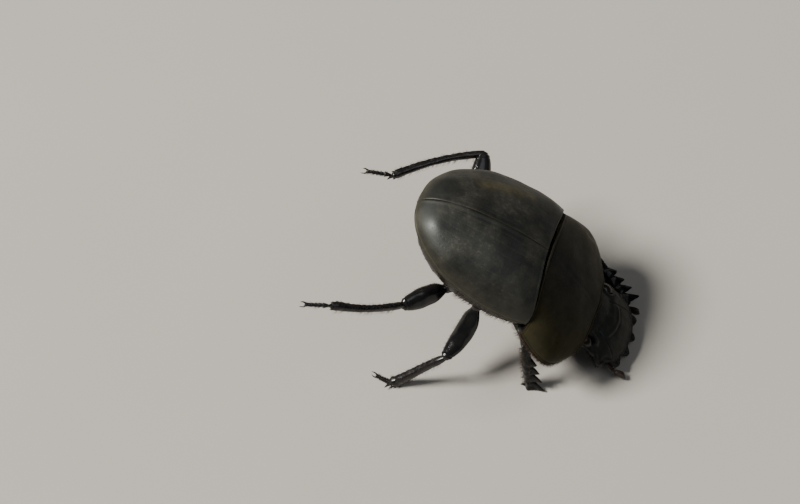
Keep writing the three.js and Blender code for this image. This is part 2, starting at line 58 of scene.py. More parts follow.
HIND_LENGTH, HIND_HALF_WIDTH, HIND_HEIGHT, HIND_DEPTH = 16, 8.6, 4.8, 4.5
WIDEST, HIGHEST = 0.28, 0.3  # places along the hind body
SHOULDER_ADVANCE = 1.95
ELYTRON_THICKNESS = 0.8
SUTURE_GAP, SUTURE_SLIT = 0.08, 0.02
STRIAE, STRIA_DEPTH, STRIA_HALF_WIDTH, PUNCTURE_STEP = 8, 0.022, 0.08, 0.42
# A smear of dried dung along the left shoulder, in plan.
SMEAR_FROM, SMEAR_TO, SMEAR_WIDTH = (-10.0, 4.3), (-4.0, 5.9), 0.75
BELLY_INSET, METASTERNUM_END, PYGIDIUM_START = 0.4, -7.4, -13.4
STERNITE_FIRST, STERNITE_LAST, STERNITES, STERNITE_STEP = 0.46, 0.97, 6, 0.16
COLLAR_AT, COLLAR_RADII = (0.5, 0, -1.9), (1.9, 6.3, 2.3)  # fills the bend between the body's halves

PRONOTUM_LENGTH, PRONOTUM_HALF_WIDTH, PRONOTUM_HEIGHT = 10, 9.3, 4.7
PRONOTUM_WIDEST = 0.42
PRONOTUM_RIM, PRONOTUM_ADVANCE, PROSTERNUM_DEPTH = 0.3, 1.1, 3.7
FOVEA_PLACE, FOVEA_ASIDE = 0.48, 7.6
SIDE_NOTCH_STEP = 0.62

HEAD_HALF_WIDTH, HEAD_FRONT, HEAD_REAR, HEAD_DOME = 4.75, 4.1, 2.4, 1.25
HEAD_TEETH = (-76, -42, -14, 14, 42, 76)  # degrees round from straight ahead
HEAD_TOOTH_LENGTH, HEAD_TOOTH_HALF_ANGLE = 0.78, 11.5
SHOVEL_SQUARE = 2.3  # 2 is an ellipse, more is squarer
HEAD_JOIN = 0.12  # how softly shovel and cranium meet
CRANIUM_AT, CRANIUM_RADII = (-2.1, 0, -0.35), (2.9, 3.9, 1.75)
EYE_AT, EYE_RADII = (-1.7, 3.85, 0.0), (1.05, 0.8, 0.75)
CANTHUS_AT, CANTHUS_RADII = (-1.0, 4.3, 0.16), (1.5, 0.46, 0.15)
CHIN_AT, CHIN_RADII = (-0.55, 0.62, -2.05), (1.85, 0.85, 0.5)
PALP_ROOT, PALP_TIP = (0.2, 0.9, -2.1), (1.9, 1.9, -1.95)
PALP_JOINTS = ((0, 0.3, 0.24), (0.3, 0.6, 0.27), (0.6, 1, 0.28))  # from, to, radius

# Edge beads: the ridge, then the groove inside it, each (height, distance from the edge, width).
BEADS = {
    "suture": ((0.022, 0.2, 0.2), (0.026, 0.6, 0.16)),
    "wing_rim": ((0.024, 0.14, 0.15), (0.036, 0.42, 0.1)),
    "wing_base": ((0.016, 0.14, 0.14), (0.02, 0.4, 0.12)),
    "pronotum_rim": ((0.06, 0.18, 0.17), (0.1, 0.46, 0.11)),
    "pronotum_front": ((0.04, 0.15, 0.14), (0.07, 0.38, 0.1)),
    "pronotum_rear": ((0.02, 0.12, 0.12), (0.03, 0.32, 0.09)),
    "shovel": ((0.1, 0.14, 0.16), (0.06, 0.5, 0.2)),
}

FEMUR = {"fore": (1.35, 0.85), "mid": (1.2, 0.85), "hind": (1.25, 0.8)}
TIBIA = {"mid": (0.72, 0.5), "hind": (0.5, 0.42)}
COXA = {"fore": (1.5, 1.3, 2.3), "mid": (1.0, 2.3, 1.1), "hind": (1.0, 2.7, 1.1)}
COXA_AT = {"fore": (6.2, 2.2, -3.0), "mid": (-2.9, 4.1, -3.9), "hind": (-7.0, 4.0, -3.7)}
COXA_SLANT = {"fore": 0, "mid": 30, "hind": 8}
SOCKET_MARGIN = 0.25
FEMUR_BOW = {"fore": 0, "mid": 0.75, "hind": 0}
HIND_TIBIA_BOW = 0.5
HIP_REACH = 0.9
ANKLE_GAP = 0.38
FORE_TEETH = (0.4, 0.58, 0.76, 0.95)
FORE_TOOTH_LEAN, FORE_TOOTH_HALF_BASE = 0.42, 0.092
BLADE_INNER_EDGE = (0.36, 0.74, 0.6)  # at the knee, halfway and at the end
BLADE_CAP_TURNS = (0.4, 0.8, 1.2, 1.45)
TIBIA_NOTCH_STEP = 0.75
TARSUS_JOINTS = (0, 0.26, 0.44, 0.6, 0.76, 1)

# Knee, ankle and toe of each leg, from the floor below the waist. The fore legs have no toe.
LEGS = {
    "fore_left": ((5.9, 8.6, 4.1), (11.0, 5.3, -0.1)),
    "fore_right": ((1.4, -7.7, 8.0), (2.6, -8.9, -0.1)),
    "mid_left": ((-7.4, 10.6, 5.4), (-13.4, 12.9, 0.3), (-15.6, 12.6, 0.24)),
    "mid_right": ((-7.6, -10.5, 5.4), (-13.4, -12.9, 0.3), (-15.5, -12.4, 0.24)),
    "hind_left": ((-8.9, 11.6, 16.4), (-18.2, 5.0, 17.8), (-21.2, 4.2, 18.7)),
    "hind_right": ((-12.8, -10.6, 15.8), (-19.8, -15.9, 21.4), (-22.7, -16.8, 21.9)),
}
# Root, elbow and neck of each antenna, and the way its club points.
ANTENNAE = {
    "left": ((1.0, 2.6, -0.9), (1.9, 4.2, -0.95), (2.6, 4.6, -0.8), (0.7, 0.05, 0.6)),
    "right": ((1.3, -2.3, -0.9), (2.8, -3.4, -0.9), (4, -4, -0.6), (1, 0.1, 0.35)),
}


# ---- small tools ----
def vec(*values):
    return np.array(values, float)


def stacked(*parts):
    return np.stack(np.broadcast_arrays(*parts), -1)


def around(count):
    return np.linspace(0, 2 * PI, count, endpoint=False)


def unit(v):
    return v / np.linalg.norm(v, axis=-1, keepdims=True)


def mirrored(at, side):
    return vec(*at) * vec(1, side, 1)


def frame_matrix(at, pitch, turn=0):
    """A body frame: moved to `at`, turned about z, then pitched about y."""
    spin = Matrix.Rotation(np.radians(turn), 4, "Z") @ Matrix.Rotation(np.radians(pitch), 4, "Y")
    return np.array(Matrix.Translation(at) @ spin)


HIND_FRAME = frame_matrix(WAIST, HIND_PITCH)
PROTHORAX_FRAME = HIND_FRAME @ frame_matrix(PROTHORAX["at"], PROTHORAX["pitch"], PROTHORAX["turn"])
HEAD_FRAME = PROTHORAX_FRAME @ frame_matrix(HEAD["at"], HEAD["pitch"], HEAD["turn"])


def moved(points, matrix):
    return np.asarray(points) @ matrix[:3, :3].T + matrix[:3, 3]


def turned(directions, matrix):
    return np.asarray(directions) @ matrix[:3, :3].T


def bell(distance, width):
    return np.exp(-((distance / width) ** 2))


def ease(x, low, high):
    t = np.clip((x - low) / (high - low), 0, 1)
    return t * t * (3 - 2 * t)


def rounded(distance, radius):
    """How far a surface drops where its edge, `distance` away, is rounded."""
    inside = np.clip(radius - distance, 0, radius)
    return radius - np.sqrt(radius ** 2 - inside ** 2)


def bead(kind, distance, groove_share=1):
    (rise, ridge_at, ridge_width), (depth, groove_at, groove_width) = BEADS[kind]
    groove = depth * bell(distance - groove_at, groove_width) * groove_share
    return rise * bell(distance - ridge_at, ridge_width) - groove


def ripple(points, size, seed, waves=32):
    """Smooth noise between about -1 and 1, with features of `size` millimetres."""
    rng = np.random.default_rng(seed)
    ways = unit(rng.normal(size=(waves, 3))) * rng.uniform(0.6, 1.5, (waves, 1)) * 2 * PI / size
    phases = rng.uniform(0, 2 * PI, waves)
    return np.sin(np.asarray(points) @ ways.T + phases).sum(-1) / np.sqrt(waves)


def through(x, xs, ys):
    """A smooth curve through the points (xs, ys)."""
    slopes = np.gradient(ys, xs)
    k = np.clip(np.searchsorted(xs, x) - 1, 0, len(xs) - 2)
    h = xs[k + 1] - xs[k]
    t = np.clip((x - xs[k]) / h, 0, 1)
    start = (1 + 2 * t) * (1 - t) ** 2 * ys[k] + t * (1 - t) ** 2 * h * slopes[k]
    return start + t * t * (3 - 2 * t) * ys[k + 1] + t * t * (t - 1) * h * slopes[k + 1]


def edged(count, first, last):
    """Even steps from 0 to 1 with a few finer ones in the first and last stretch."""
    fine = np.linspace(0, 1, 6)[:-1]
    return np.concatenate([first * fine, np.linspace(first, 1 - last, count), 1 - last * fine[::-1]])


def arcs(grid, axis):
    """Distance in millimetres along a grid's rows or columns, from its first."""
    steps = np.linalg.norm(np.diff(grid, axis=axis), axis=-1)
    pad = [(0, 0), (0, 0)]
    pad[axis] = (1, 0)
    return np.cumsum(np.pad(steps, pad), axis=axis)


def grid_cross(grid):
    return np.cross(np.gradient(grid, axis=0), np.gradient(grid, axis=1))


def grid_normals(grid):
    normal = grid_cross(grid)
    return normal / np.maximum(np.linalg.norm(normal, axis=-1, keepdims=True), 1e-9)


def raised(grid, lift):
    return grid + grid_normals(grid) * lift[..., None]


# ---- meshes ----
def link(name, data):
    made = bpy.data.objects.new(name, data)
    bpy.context.scene.collection.objects.link(made)
    return made


def new_mesh(name, points, faces):
    mesh = bpy.data.meshes.new(name)
    mesh.from_pydata((points * MM).tolist(), [], faces)
    return mesh


def dress(name, mesh, finish):
    """Makes a mesh a piece that rides on the body."""
    mesh.materials.append(FINISHES[finish])
    piece = link(name, mesh)
    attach(piece, "root")
    return piece


def add_piece(name, shells, finish, nodes, dust_and_painted_bounce=None):
    """A piece of closed shells, each (points, faces), in place of CAD nodes.

    The last argument gives each point a share, 0 to 1, of settled soil and, on the pronotum's low sides,
    of painted warm bounce light, for the finishes that read it.
    """
    faces, start = [], 0
    for shell_points, shell_faces in shells:
        faces += [[start + i for i in face] for face in shell_faces]
        start += len(shell_points)
    mesh = new_mesh(name, np.concatenate([points for points, _ in shells]), faces)
    if dust_and_painted_bounce is not None:
        layer = mesh.attributes.new("dust_and_painted_bounce", "FLOAT", "POINT")
        layer.data.foreach_set("value", dust_and_painted_bounce.astype(np.float32).ravel())
    clean_up(mesh)
    piece = dress(name, mesh, finish)
    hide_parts(*nodes)


def clean_up(mesh):
    """Welds collapsed points, turns faces outwards and shades smooth."""
    work = bmesh.new()
    work.from_mesh(mesh)
    bmesh.ops.remove_doubles(work, verts=work.verts, dist=0.0005 * MM)
    bmesh.ops.recalc_face_normals(work, faces=work.faces)
    for face in work.faces:
        face.smooth = True
    work.to_mesh(mesh)
    work.free()


def loft(rings):
    """A closed shell of rings (rows, columns, 3) joined in order, with a face over each end."""
    rows, columns = rings.shape[:2]
    index = np.arange(rows * columns).reshape(rows, columns)
    after = np.roll(index, -1, axis=1)
    quads = np.stack([index[:-1], after[:-1], after[1:], index[1:]], -1).reshape(-1, 4).tolist()
    return rings.reshape(-1, 3), quads + [index[0].tolist(), index[-1][::-1].tolist()]


def placed(shell, matrix):
    return moved(shell[0], matrix), shell[1]


def on_floor(shell):
    """The same shell with whatever would sink into the floor pressed flat on it."""
    return np.maximum(shell[0], vec(-np.inf, -np.inf, 0)), shell[1]


def ellipsoid(at, radii, matrix, slant=0, rows=32, columns=48, rough=None):
    """An ellipsoid turned by `slant` degrees about z; `rough` is its ripple's height, size and seed."""
    tilt = np.linspace(0.02, PI - 0.02, rows)[:, None]
    turn = around(columns)
    way = stacked(np.sin(tilt) * np.cos(turn), np.sin(tilt) * np.sin(turn), np.cos(tilt))
    points = way * vec(*radii)
    if rough is not None:
        height, size, seed = rough
        points = points + way * (height * ripple(way, size, seed))[..., None]
    return loft(moved(moved(points, frame_matrix(at, 0, slant)), matrix))


def between(points, faces, low, high):
    """The part of a closed shell between two planes across x, with its cuts filled."""
    mesh = bpy.data.meshes.new("cut")
    mesh.from_pydata(points.tolist(), [], faces)
    work = bmesh.new()
    work.from_mesh(mesh)
    bmesh.ops.remove_doubles(work, verts=work.verts, dist=1e-4)
    for x, normal in ((low, (-1, 0, 0)), (high, (1, 0, 0))):
        geometry = work.verts[:] + work.edges[:] + work.faces[:]
        cut = bmesh.ops.bisect_plane(
            work, geom=geometry, plane_co=(x, 0, 0), plane_no=normal, clear_outer=True)
        rim = [item for item in cut["geom_cut"] if isinstance(item, bmesh.types.BMEdge)]
        if rim:
            bmesh.ops.holes_fill(work, edges=rim)
    work.verts.index_update()
    kept = np.array([vert.co[:] for vert in work.verts])
    corners = [[vert.index for vert in face.verts] for face in work.faces]
    work.free()
    bpy.data.meshes.remove(mesh)
    return kept, corners


def domed(ring, push, turns):
    """Rings that close an open end, smaller and smaller as they move along `push`."""
    centre = ring.mean(0)
    return [centre + (ring - centre) * np.cos(turn) + push * np.sin(turn) for turn in turns]


class Limb:
    """A tube through stations (place, half width, half thickness), broad along `broad`.

    A station of (place, radius) is round.
    """

    CAP_TURNS = (0.35, 0.7, 1.05, 1.4)

    def __init__(self, start, end, broad, stations, bow=0.0, square=2.0):
        self.start, self.end = vec(*start), vec(*end)
        self.length = np.linalg.norm(self.end - self.start)
        self.axis = unit(self.end - self.start)
        self.wide = unit(vec(*broad) - self.axis * (vec(*broad) @ self.axis))
        self.thin = np.cross(self.axis, self.wide)
        self.stations, self.bow, self.square = np.array(stations, float), bow, square

    def reach(self, place, part, half, lift):
        """How far the surface stands off the axis along one of its directions."""
        size = through(place, self.stations[:, 0], half) + lift
        return np.sign(part) * np.abs(part) ** (2 / self.square) * size

    def point(self, place, angle, lift=0.0):
        place, angle = np.broadcast_arrays(np.asarray(place, float), np.asarray(angle, float))
        across = self.reach(place, np.cos(angle), self.stations[:, 1], lift)
        deep = self.reach(place, np.sin(angle), self.stations[:, -1], lift) + self.bow * np.sin(PI * place)
        along = place[..., None] * (self.end - self.start)
        return self.start + along + across[..., None] * self.wide + deep[..., None] * self.thin

    def outwards(self, angle):
        return np.cos(angle)[..., None] * self.wide + np.sin(angle)[..., None] * self.thin

    def shell(self, rows=50, columns=28, lift=None, blunt=0.6):
        """The closed tube; lift(place, angle) raises its surface; `blunt` is how far the ends are domed."""
        even = np.linspace(0, 1, rows)[:, None]
        place = 0.25 * (1 - np.cos(PI * even)) + 0.5 * even
        angle = around(columns)
        body = self.point(place, angle, 0 if lift is None else lift(place, angle))
        caps = []
        for ring, way in ((body[0], -1), (body[-1], 1)):
            radius = np.linalg.norm(ring - ring.mean(0), axis=-1).mean()
            caps.append(domed(ring, way * self.axis * blunt * radius, self.CAP_TURNS[::way]))
        return loft(np.concatenate([caps[0], body, caps[1]]))


class Bristles:
    """Tapered, bent bristles gathered into one mesh, each a small patch on the skin's unwrap."""

    STEPS = vec(0, 0.3, 0.62, 0.88)
    PATCH = 0.003
    SUNK = 0.04  # how deep a root sits in the skin
    LOWEST = 0.01  # above the floor

    def __init__(self):
        self.points, self.places = [], []

    def add(self, roots, ways, bend, length, radius, unwrap):
        ways = unit(ways)
        count = len(roots)
        length = np.broadcast_to(length, count)[:, None, None]
        bend = np.broadcast_to(bend, (count, 3))
        side = unit(np.cross(ways, ways[:, [1, 2, 0]] + vec(0.3, 0.1, 0.2)))
        other = np.cross(ways, side)
        steps = np.append(self.STEPS, 1.0)[None, :, None]
        spine = (roots - self.SUNK * ways)[:, None] + length * (
            steps * ways[:, None] + 0.5 * steps ** 2 * bend[:, None])
        taper = radius * ((1 - self.STEPS) ** 0.7)[None, :, None]
        rings = [spine[:, :-1] + taper * (np.cos(turn) * side + np.sin(turn) * other)[:, None]
                 for turn in 2 * PI * np.arange(3) / 3]
        body = np.stack(rings, 2).reshape(count, -1, 3)
        self.points.append(np.concatenate([body, spine[:, -1:]], 1))
        self.places.append(np.broadcast_to(unwrap, (count, 2)))

    def piece(self, name, finish, slot):
        points, places = np.concatenate(self.points), np.concatenate(self.places)
        points[..., 2] = np.maximum(points[..., 2], self.LOWEST)
        rings = len(self.STEPS)
        last, tip = 3 * (rings - 1), 3 * rings
        pattern = [[2, 1, 0]]
        for a in range(last):
            b = a + 1 if a % 3 < 2 else a - 2
            pattern.append([a, b, b + 3, a + 3])
        pattern += [[last + corner, last + (corner + 1) % 3, tip] for corner in range(3)]
        faces = [[i + n * (tip + 1) for i in face] for n in range(len(points)) for face in pattern]
        mesh = new_mesh(name, points.reshape(-1, 3), faces)
        mesh.polygons.foreach_set("use_smooth", [True] * len(faces))
        across = np.append(np.tile([-0.5, 0.0, 0.5], rings), 0.0)
        along = np.append(np.repeat(self.STEPS, 3), 1.0) - 0.5
        corner_uv = places[:, None] + self.PATCH * np.stack([across, along], -1)[None]
        corners = np.array([i for face in faces for i in face])
        uv = mesh.uv_layers.new(name="OFBake")
        uv.data.foreach_set("uv", corner_uv.reshape(-1, 2)[corners].astype(np.float32).ravel())
        dress(name, mesh, finish)


# ---- finishes ----
class Finish:
    """A procedural surface on the piece's own coordinates; sizes are millimetres."""

    def __init__(self, name, **sockets):
        self.material = bpy.data.materials.new(name)
        self.material.use_nodes = True
        self.tree = self.material.node_tree
        self.shader = self.tree.nodes["Principled BSDF"]
        self.place = self.tree.nodes.new("ShaderNodeTexCoord").outputs["Object"]
        self.set(**sockets)

    def set(self, **sockets):
        """Gives the shader's sockets, written with _ for a space, a value or a node's output."""
        self.fill(self.shader, {name.replace("_", " "): value for name, value in sockets.items()})
        return self.material

    def fill(self, node, inputs):
        for key, value in inputs.items():
            if isinstance(value, bpy.types.NodeSocket):
                self.tree.links.new(value, node.inputs[key])
            else:
                node.inputs[key].default_value = value

    def node(self, kind, inputs, **settings):
        made = self.tree.nodes.new(kind)
        for key, value in settings.items():
            setattr(made, key, value)
        self.fill(made, inputs)
        return made

    def noise(self, size, detail=3.0, roughness=0.55):
        inputs = {"Vector": self.place, "Scale": 1 / (size * MM), "Detail": detail, "Roughness": roughness}
        return self.node("ShaderNodeTexNoise", inputs).outputs["Fac"]

    def cells(self, size, smooth=0.0):
        feature = "SMOOTH_F1" if smooth else "F1"
        inputs = {"Vector": self.place, "Scale": 1 / (size * MM)}
        if smooth:
            inputs["Smoothness"] = smooth
        return self.node("ShaderNodeTexVoronoi", inputs, feature=feature).outputs["Distance"]

    def spread(self, source, low, high, to_low=0.0, to_high=1.0):
        inputs = {"Value": source, "From Min": low, "From Max": high, "To Min": to_low, "To Max": to_high}
        return self.node("ShaderNodeMapRange", inputs).outputs["Result"]

    def math(self, operation, a, b):
        return self.node("ShaderNodeMath", {0: a, 1: b}, operation=operation).outputs["Value"]

    def times(self, a, b):
        return self.math("MULTIPLY", a, b)

    def plus(self, a, b):
        return self.math("ADD", a, b)

    def mix(self, share, a, b):
        return self.node("ShaderNodeMix", {0: share, 6: a, 7: b}, data_type="RGBA").outputs[2]

    def blotches(self, size, detail, dark, light, low=0.35):
        return self.mix(self.spread(self.noise(size, detail), low, 0.7), dark, light)

    def uneven(self, size, detail, smooth, rough):
        """A roughness that wanders between two values."""
        return self.spread(self.noise(size, detail), 0.3, 0.7, smooth, rough)

    def upward(self):
        """How far the surface faces the sky, from 0 to 1."""
        normal = self.node("ShaderNodeNewGeometry", {}).outputs["Normal"]
        height = self.node("ShaderNodeSeparateXYZ", {"Vector": normal}).outputs["Z"]
        return self.spread(height, 0.1, 0.9)

    # The point attribute of settled soil and, on the pronotum's low sides, painted warm bounce light.
    def dust_and_painted_bounce(self):
        return self.node("ShaderNodeAttribute", {}, attribute_name="dust_and_painted_bounce").outputs["Fac"]

    def bump(self, height, depth, under=None):
        inputs = {"Height": height, "Distance": depth * MM}
        if under is not None:
            inputs["Normal"] = under
        return self.node("ShaderNodeBump", inputs).outputs["Normal"]


def rgb(red, green, blue):
    return (red, green, blue, 1.0)


SHELL_DARK, SHELL_LIGHT = vec(0.0075, 0.0078, 0.0072), vec(0.0150, 0.0146, 0.0120)
# The bare shell's sheen tint is cool, to offset the warm key lamp in its reflections.
WHITE, COOL_SHEEN_AGAINST_WARM_KEY = rgb(1, 1, 1), rgb(0.92, 1, 0.98)
SOIL, PALE_SOIL, SOIL_FILM = rgb(0.06, 0.055, 0.046), rgb(0.07, 0.065, 0.057), rgb(0.085, 0.081, 0.063)


def dorsal_finish(name, dust_share, grain, relief, tone, specular, dust_and_bounce_colour, painted_reflection_tint=WHITE):
    """Satin charcoal shell, faintly mottled, with a film of soil on its sky side.

    `grain` is the spacing of its fine punctures and `relief` their depth. `tone` lightens or darkens the
    bare shell. The second colour is laid where the point attribute asks: settled soil in grooves and
    smears, and on the pronotum's low sides painted warm bounce light from the ground. The sheen tint there
    is a painted reflection of the ground; elsewhere the sheen is tinted cool against the warm key lamp.
    """
    f = Finish(name, Specular_IOR_Level=specular)
    mottle = f.spread(f.noise(2.2, 5, 0.6), 0.36, 0.66)
    colour = f.mix(mottle, rgb(*SHELL_DARK * tone), rgb(*SHELL_LIGHT * tone))
    scuff = f.spread(f.noise(0.45, 5, 0.7), 0.5, 0.78)
    patch = f.spread(f.noise(4.5, 4, 0.6), 0.42, 0.68)
    film = f.times(f.times(f.upward(), patch), f.plus(scuff, 0.35))
    film = f.math("MINIMUM", f.times(film, dust_share), 0.8)
    colour = f.mix(film, colour, SOIL_FILM)
    # Share of the second colour: settled soil, and on the pronotum's low sides painted warm bounce light.
    low = f.times(f.dust_and_painted_bounce(), f.spread(f.noise(1.1, 4, 0.65), 0.3, 0.7, 0.35, 0.8))
    colour = f.mix(low, colour, dust_and_bounce_colour)
    worn = f.plus(f.times(film, 0.9), f.times(f.noise(1.3, 4), 0.7))
    pits = f.spread(f.cells(grain, 0.25), 0.12, 0.4)
    return f.set(
        Base_Color=colour,
        # Sheen tint: cool on bare shell against the warm key lamp; warm where the point attribute is high, a
        # painted reflection of the ground.
        Specular_Tint=f.mix(f.dust_and_painted_bounce(), COOL_SHEEN_AGAINST_WARM_KEY, painted_reflection_tint),
        Roughness=f.spread(worn, 0.2, 0.9, 0.4, 0.66),
        Normal=f.bump(f.noise(0.09, 3, 0.6), 0.004, f.bump(pits, relief)))


def limb_finish(name, soil, dust_share, gloss, specular=0.3):
    """Polished black leg shell with a little pale soil in its roughest places."""
    f = Finish(name, Specular_IOR_Level=specular, Coat_Weight=0.2 * specular, Coat_Roughness=0.1)
    clump = f.spread(f.noise(0.3, 5, 0.7), 0.5, 0.74)
    film = f.times(f.plus(f.upward(), 0.2), clump)
    film = f.math("MINIMUM", f.times(film, dust_share), 0.85)
    bare = f.blotches(1.5, 3, rgb(0.0045, 0.0045, 0.005), rgb(0.010, 0.0095, 0.009))
    pits = f.spread(f.cells(0.24, 0.3), 0.06, 0.2)
    return f.set(
        Base_Color=f.mix(film, bare, soil),
        Roughness=f.spread(f.plus(film, f.times(f.noise(0.9, 3), 0.35)), 0.1, 0.9, gloss, 0.7),
        Normal=f.bump(f.noise(0.1), 0.003, f.bump(pits, 0.006)))


def ventral_finish():
    f = Finish("underside", Specular_IOR_Level=0.35)
    pits = f.spread(f.cells(0.34, 0.25), 0.1, 0.34)
    return f.set(
        Base_Color=f.blotches(1.6, 4, rgb(0.005, 0.0045, 0.004), rgb(0.012, 0.0095, 0.007)),
        Roughness=f.uneven(0.8, 3, 0.28, 0.5),
        Normal=f.bump(f.noise(0.1), 0.006, f.bump(pits, 0.016)))


def eye_finish():
    """Dark brown eye, glossy under a fine net of facets."""
    f = Finish("eye", Specular_IOR_Level=0.3, Coat_Weight=0.06, Coat_Roughness=0.08)
    facets = f.spread(f.cells(0.05), 0.0, 0.5, 1.0, 0.0)
    return f.set(
        Base_Color=f.blotches(0.6, 3, rgb(0.004, 0.0025, 0.0015), rgb(0.014, 0.007, 0.0035)),
        Roughness=f.uneven(0.3, 2, 0.16, 0.26),
        Normal=f.bump(facets, 0.0035))


def antenna_finish(name, dark, light):
    f = Finish(name, Specular_IOR_Level=0.45, Subsurface_Weight=0.05, Subsurface_Scale=0.2 * MM)
    return f.set(
        Base_Color=f.blotches(0.4, 4, dark, light),
        Roughness=f.uneven(0.2, 3, 0.35, 0.55),
        Normal=f.bump(f.noise(0.05), 0.006))


def bristle_finish(name, root, tip):
    f = Finish(name, Specular_IOR_Level=0.3)
    return f.set(Base_Color=f.blotches(0.7, 3, root, tip, 0.3), Roughness=f.uneven(0.3, 2, 0.45, 0.65))


FINISHES = {
    # The wing cases' warm sheen tint on their soiled parts and low rim band is a painted reflection of the
    # ground.
    "wing_case": dorsal_finish(
        "wing_case", dust_share=0.5, grain=0.13, relief=0.006, tone=0.85, specular=0.33,
        dust_and_bounce_colour=rgb(0.056, 0.050, 0.028), painted_reflection_tint=rgb(1, 0.94, 0.72)),
    # The pronotum's low colour and golden sheen tint are painted warm bounce light from the ground and its
    # painted reflection, over a little soil in its grooves.
    "pronotum": dorsal_finish(
        "pronotum", dust_share=0.10, grain=0.22, relief=0.012, tone=1.15, specular=0.06,
        dust_and_bounce_colour=rgb(0.0275, 0.0235, 0.0095), painted_reflection_tint=rgb(0.98, 0.87, 0.50)),
    # The head's tone of 0.5 halves its bare shell's colour: painted shade, for the shade under the
    # pronotum's front.
    "head": dorsal_finish(
        "head", dust_share=0.12, grain=0.2, relief=0.016, tone=0.5, specular=0.22,
        dust_and_bounce_colour=rgb(0.018, 0.015, 0.0095)),
    "leg": limb_finish("leg", SOIL, dust_share=0.06, gloss=0.12),
    "blade": limb_finish("blade", SOIL, dust_share=0.03, gloss=0.1, specular=0.12),
    "dusty_leg": limb_finish("dusty_leg", PALE_SOIL, dust_share=0.3, gloss=0.2),
    "underside": ventral_finish(),
    "eye": eye_finish(),
    "antenna": antenna_finish("antenna", rgb(0.010, 0.005, 0.003), rgb(0.030, 0.014, 0.007)),
    "antenna_club": antenna_finish("antenna_club", rgb(0.009, 0.0055, 0.004), rgb(0.024, 0.013, 0.008)),
    "bristle": bristle_finish("bristle", rgb(0.010, 0.006, 0.004), rgb(0.035, 0.018, 0.009)),
    "fringe": bristle_finish("fringe", rgb(0.013, 0.0075, 0.004), rgb(0.042, 0.023, 0.011)),
}


# ---- hind body ----
# `place` runs from 0 at the waist to 1 at the tip, angles from the left rim, 0, over the back.
def tapered(place, widest, power):
    """From 1 at `widest` down to 0 at the tip."""
    past = np.clip((place - widest) / (1 - widest), 0, 1)
    return np.sqrt(np.clip(1 - past ** power, 0, 1))


def hind_plan(place):
    front = 1 - 0.07 * np.clip((WIDEST - place) / WIDEST, 0, 1) ** 2
    return np.where(place < WIDEST, front, tapered(place, WIDEST, 2.2))


def hind_crown(place):
    rise = 0.9 + 0.1 * np.sin(PI / 2 * np.clip(place / HIGHEST, 0, 1))
    return np.where(place < HIGHEST, rise, tapered(place, HIGHEST, 2.4))


def hind_point(place, y, z, inset):
    x = SHOULDER_ADVANCE * (y / HIND_HALF_WIDTH) ** 2 * (1 - place) - (HIND_LENGTH - inset) * place
    return stacked(x, y, z)


def dome(place, angle, inset):
    y = (HIND_HALF_WIDTH - inset) * hind_plan(place) * np.cos(angle)
    z = (HIND_HEIGHT - inset) * hind_crown(place) * np.abs(np.sin(angle)) ** 0.9
    return hind_point(place, y, z, inset)


def from_line(grid, start, end):
    """Distance in plan from the stretch between two places."""
    start, along = vec(*start), vec(*end) - vec(*start)
    share = np.clip(((grid[..., :2] - start) @ along) / (along @ along), 0, 1)
    return np.linalg.norm(grid[..., :2] - start - share[..., None] * along, axis=-1)


def elytron_relief(grid, to_suture, to_rim, to_base, place, side):
    """Striae, their punctures, the beads and the soft swellings of one wing case, and its mask of settled
    soil, which also carries the painted warm sheen tint.
    """
    across = to_suture + to_rim
    share = to_suture / np.maximum(across, 1e-6)
    x = grid[..., 0]
    fade = ease(to_base, 0.5, 2.0) * (1 - ease(place, 0.72, 0.9))
    groove = np.zeros_like(share)
    for k in range(1, STRIAE + 1):
        offset = (share - k / (STRIAE + 1.0)) * across + 0.05 * np.sin(x * 0.9 + k)
        pits = 0.55 + 0.45 * np.cos(2 * PI * x / PUNCTURE_STEP + k * 1.7)
        groove += bell(offset, STRIA_HALF_WIDTH) * pits
    lift = 0.05 * ripple(grid, 4.2, 5 + side) - STRIA_DEPTH * fade * groove
    lift += bead("suture", to_suture, fade) + bead("wing_rim", to_rim) + bead("wing_base", to_base)
    shoulder = bell(to_base - 1.9, 1.3) * bell((share - 0.72) * across, 1.2)
    hump = bell((place - 0.82) * HIND_LENGTH, 1.3) * bell((share - 0.5) * across, 1.2)
    lift += 0.16 * (shoulder + hump)
    # Settled soil in the striae, suture and rim groove and along the low rim band; the same mask carries the
    # wing cases' painted warm sheen tint.
    dust_and_painted_bounce = 0.16 * groove * fade + 0.14 * bell(to_suture, 0.3) + 0.4 * bell(to_rim - 0.42, 0.14)
    dust_and_painted_bounce += 0.22 * (1 - ease(to_rim, 0.4, 3.4))
    if side == SIDES["left"]:
        dust_and_painted_bounce += 0.95 * bell(from_line(grid, SMEAR_FROM, SMEAR_TO) + 0.15 * ripple(grid, 1.1, 9), SMEAR_WIDTH)
    return lift, np.clip(dust_and_painted_bounce, 0, 1)


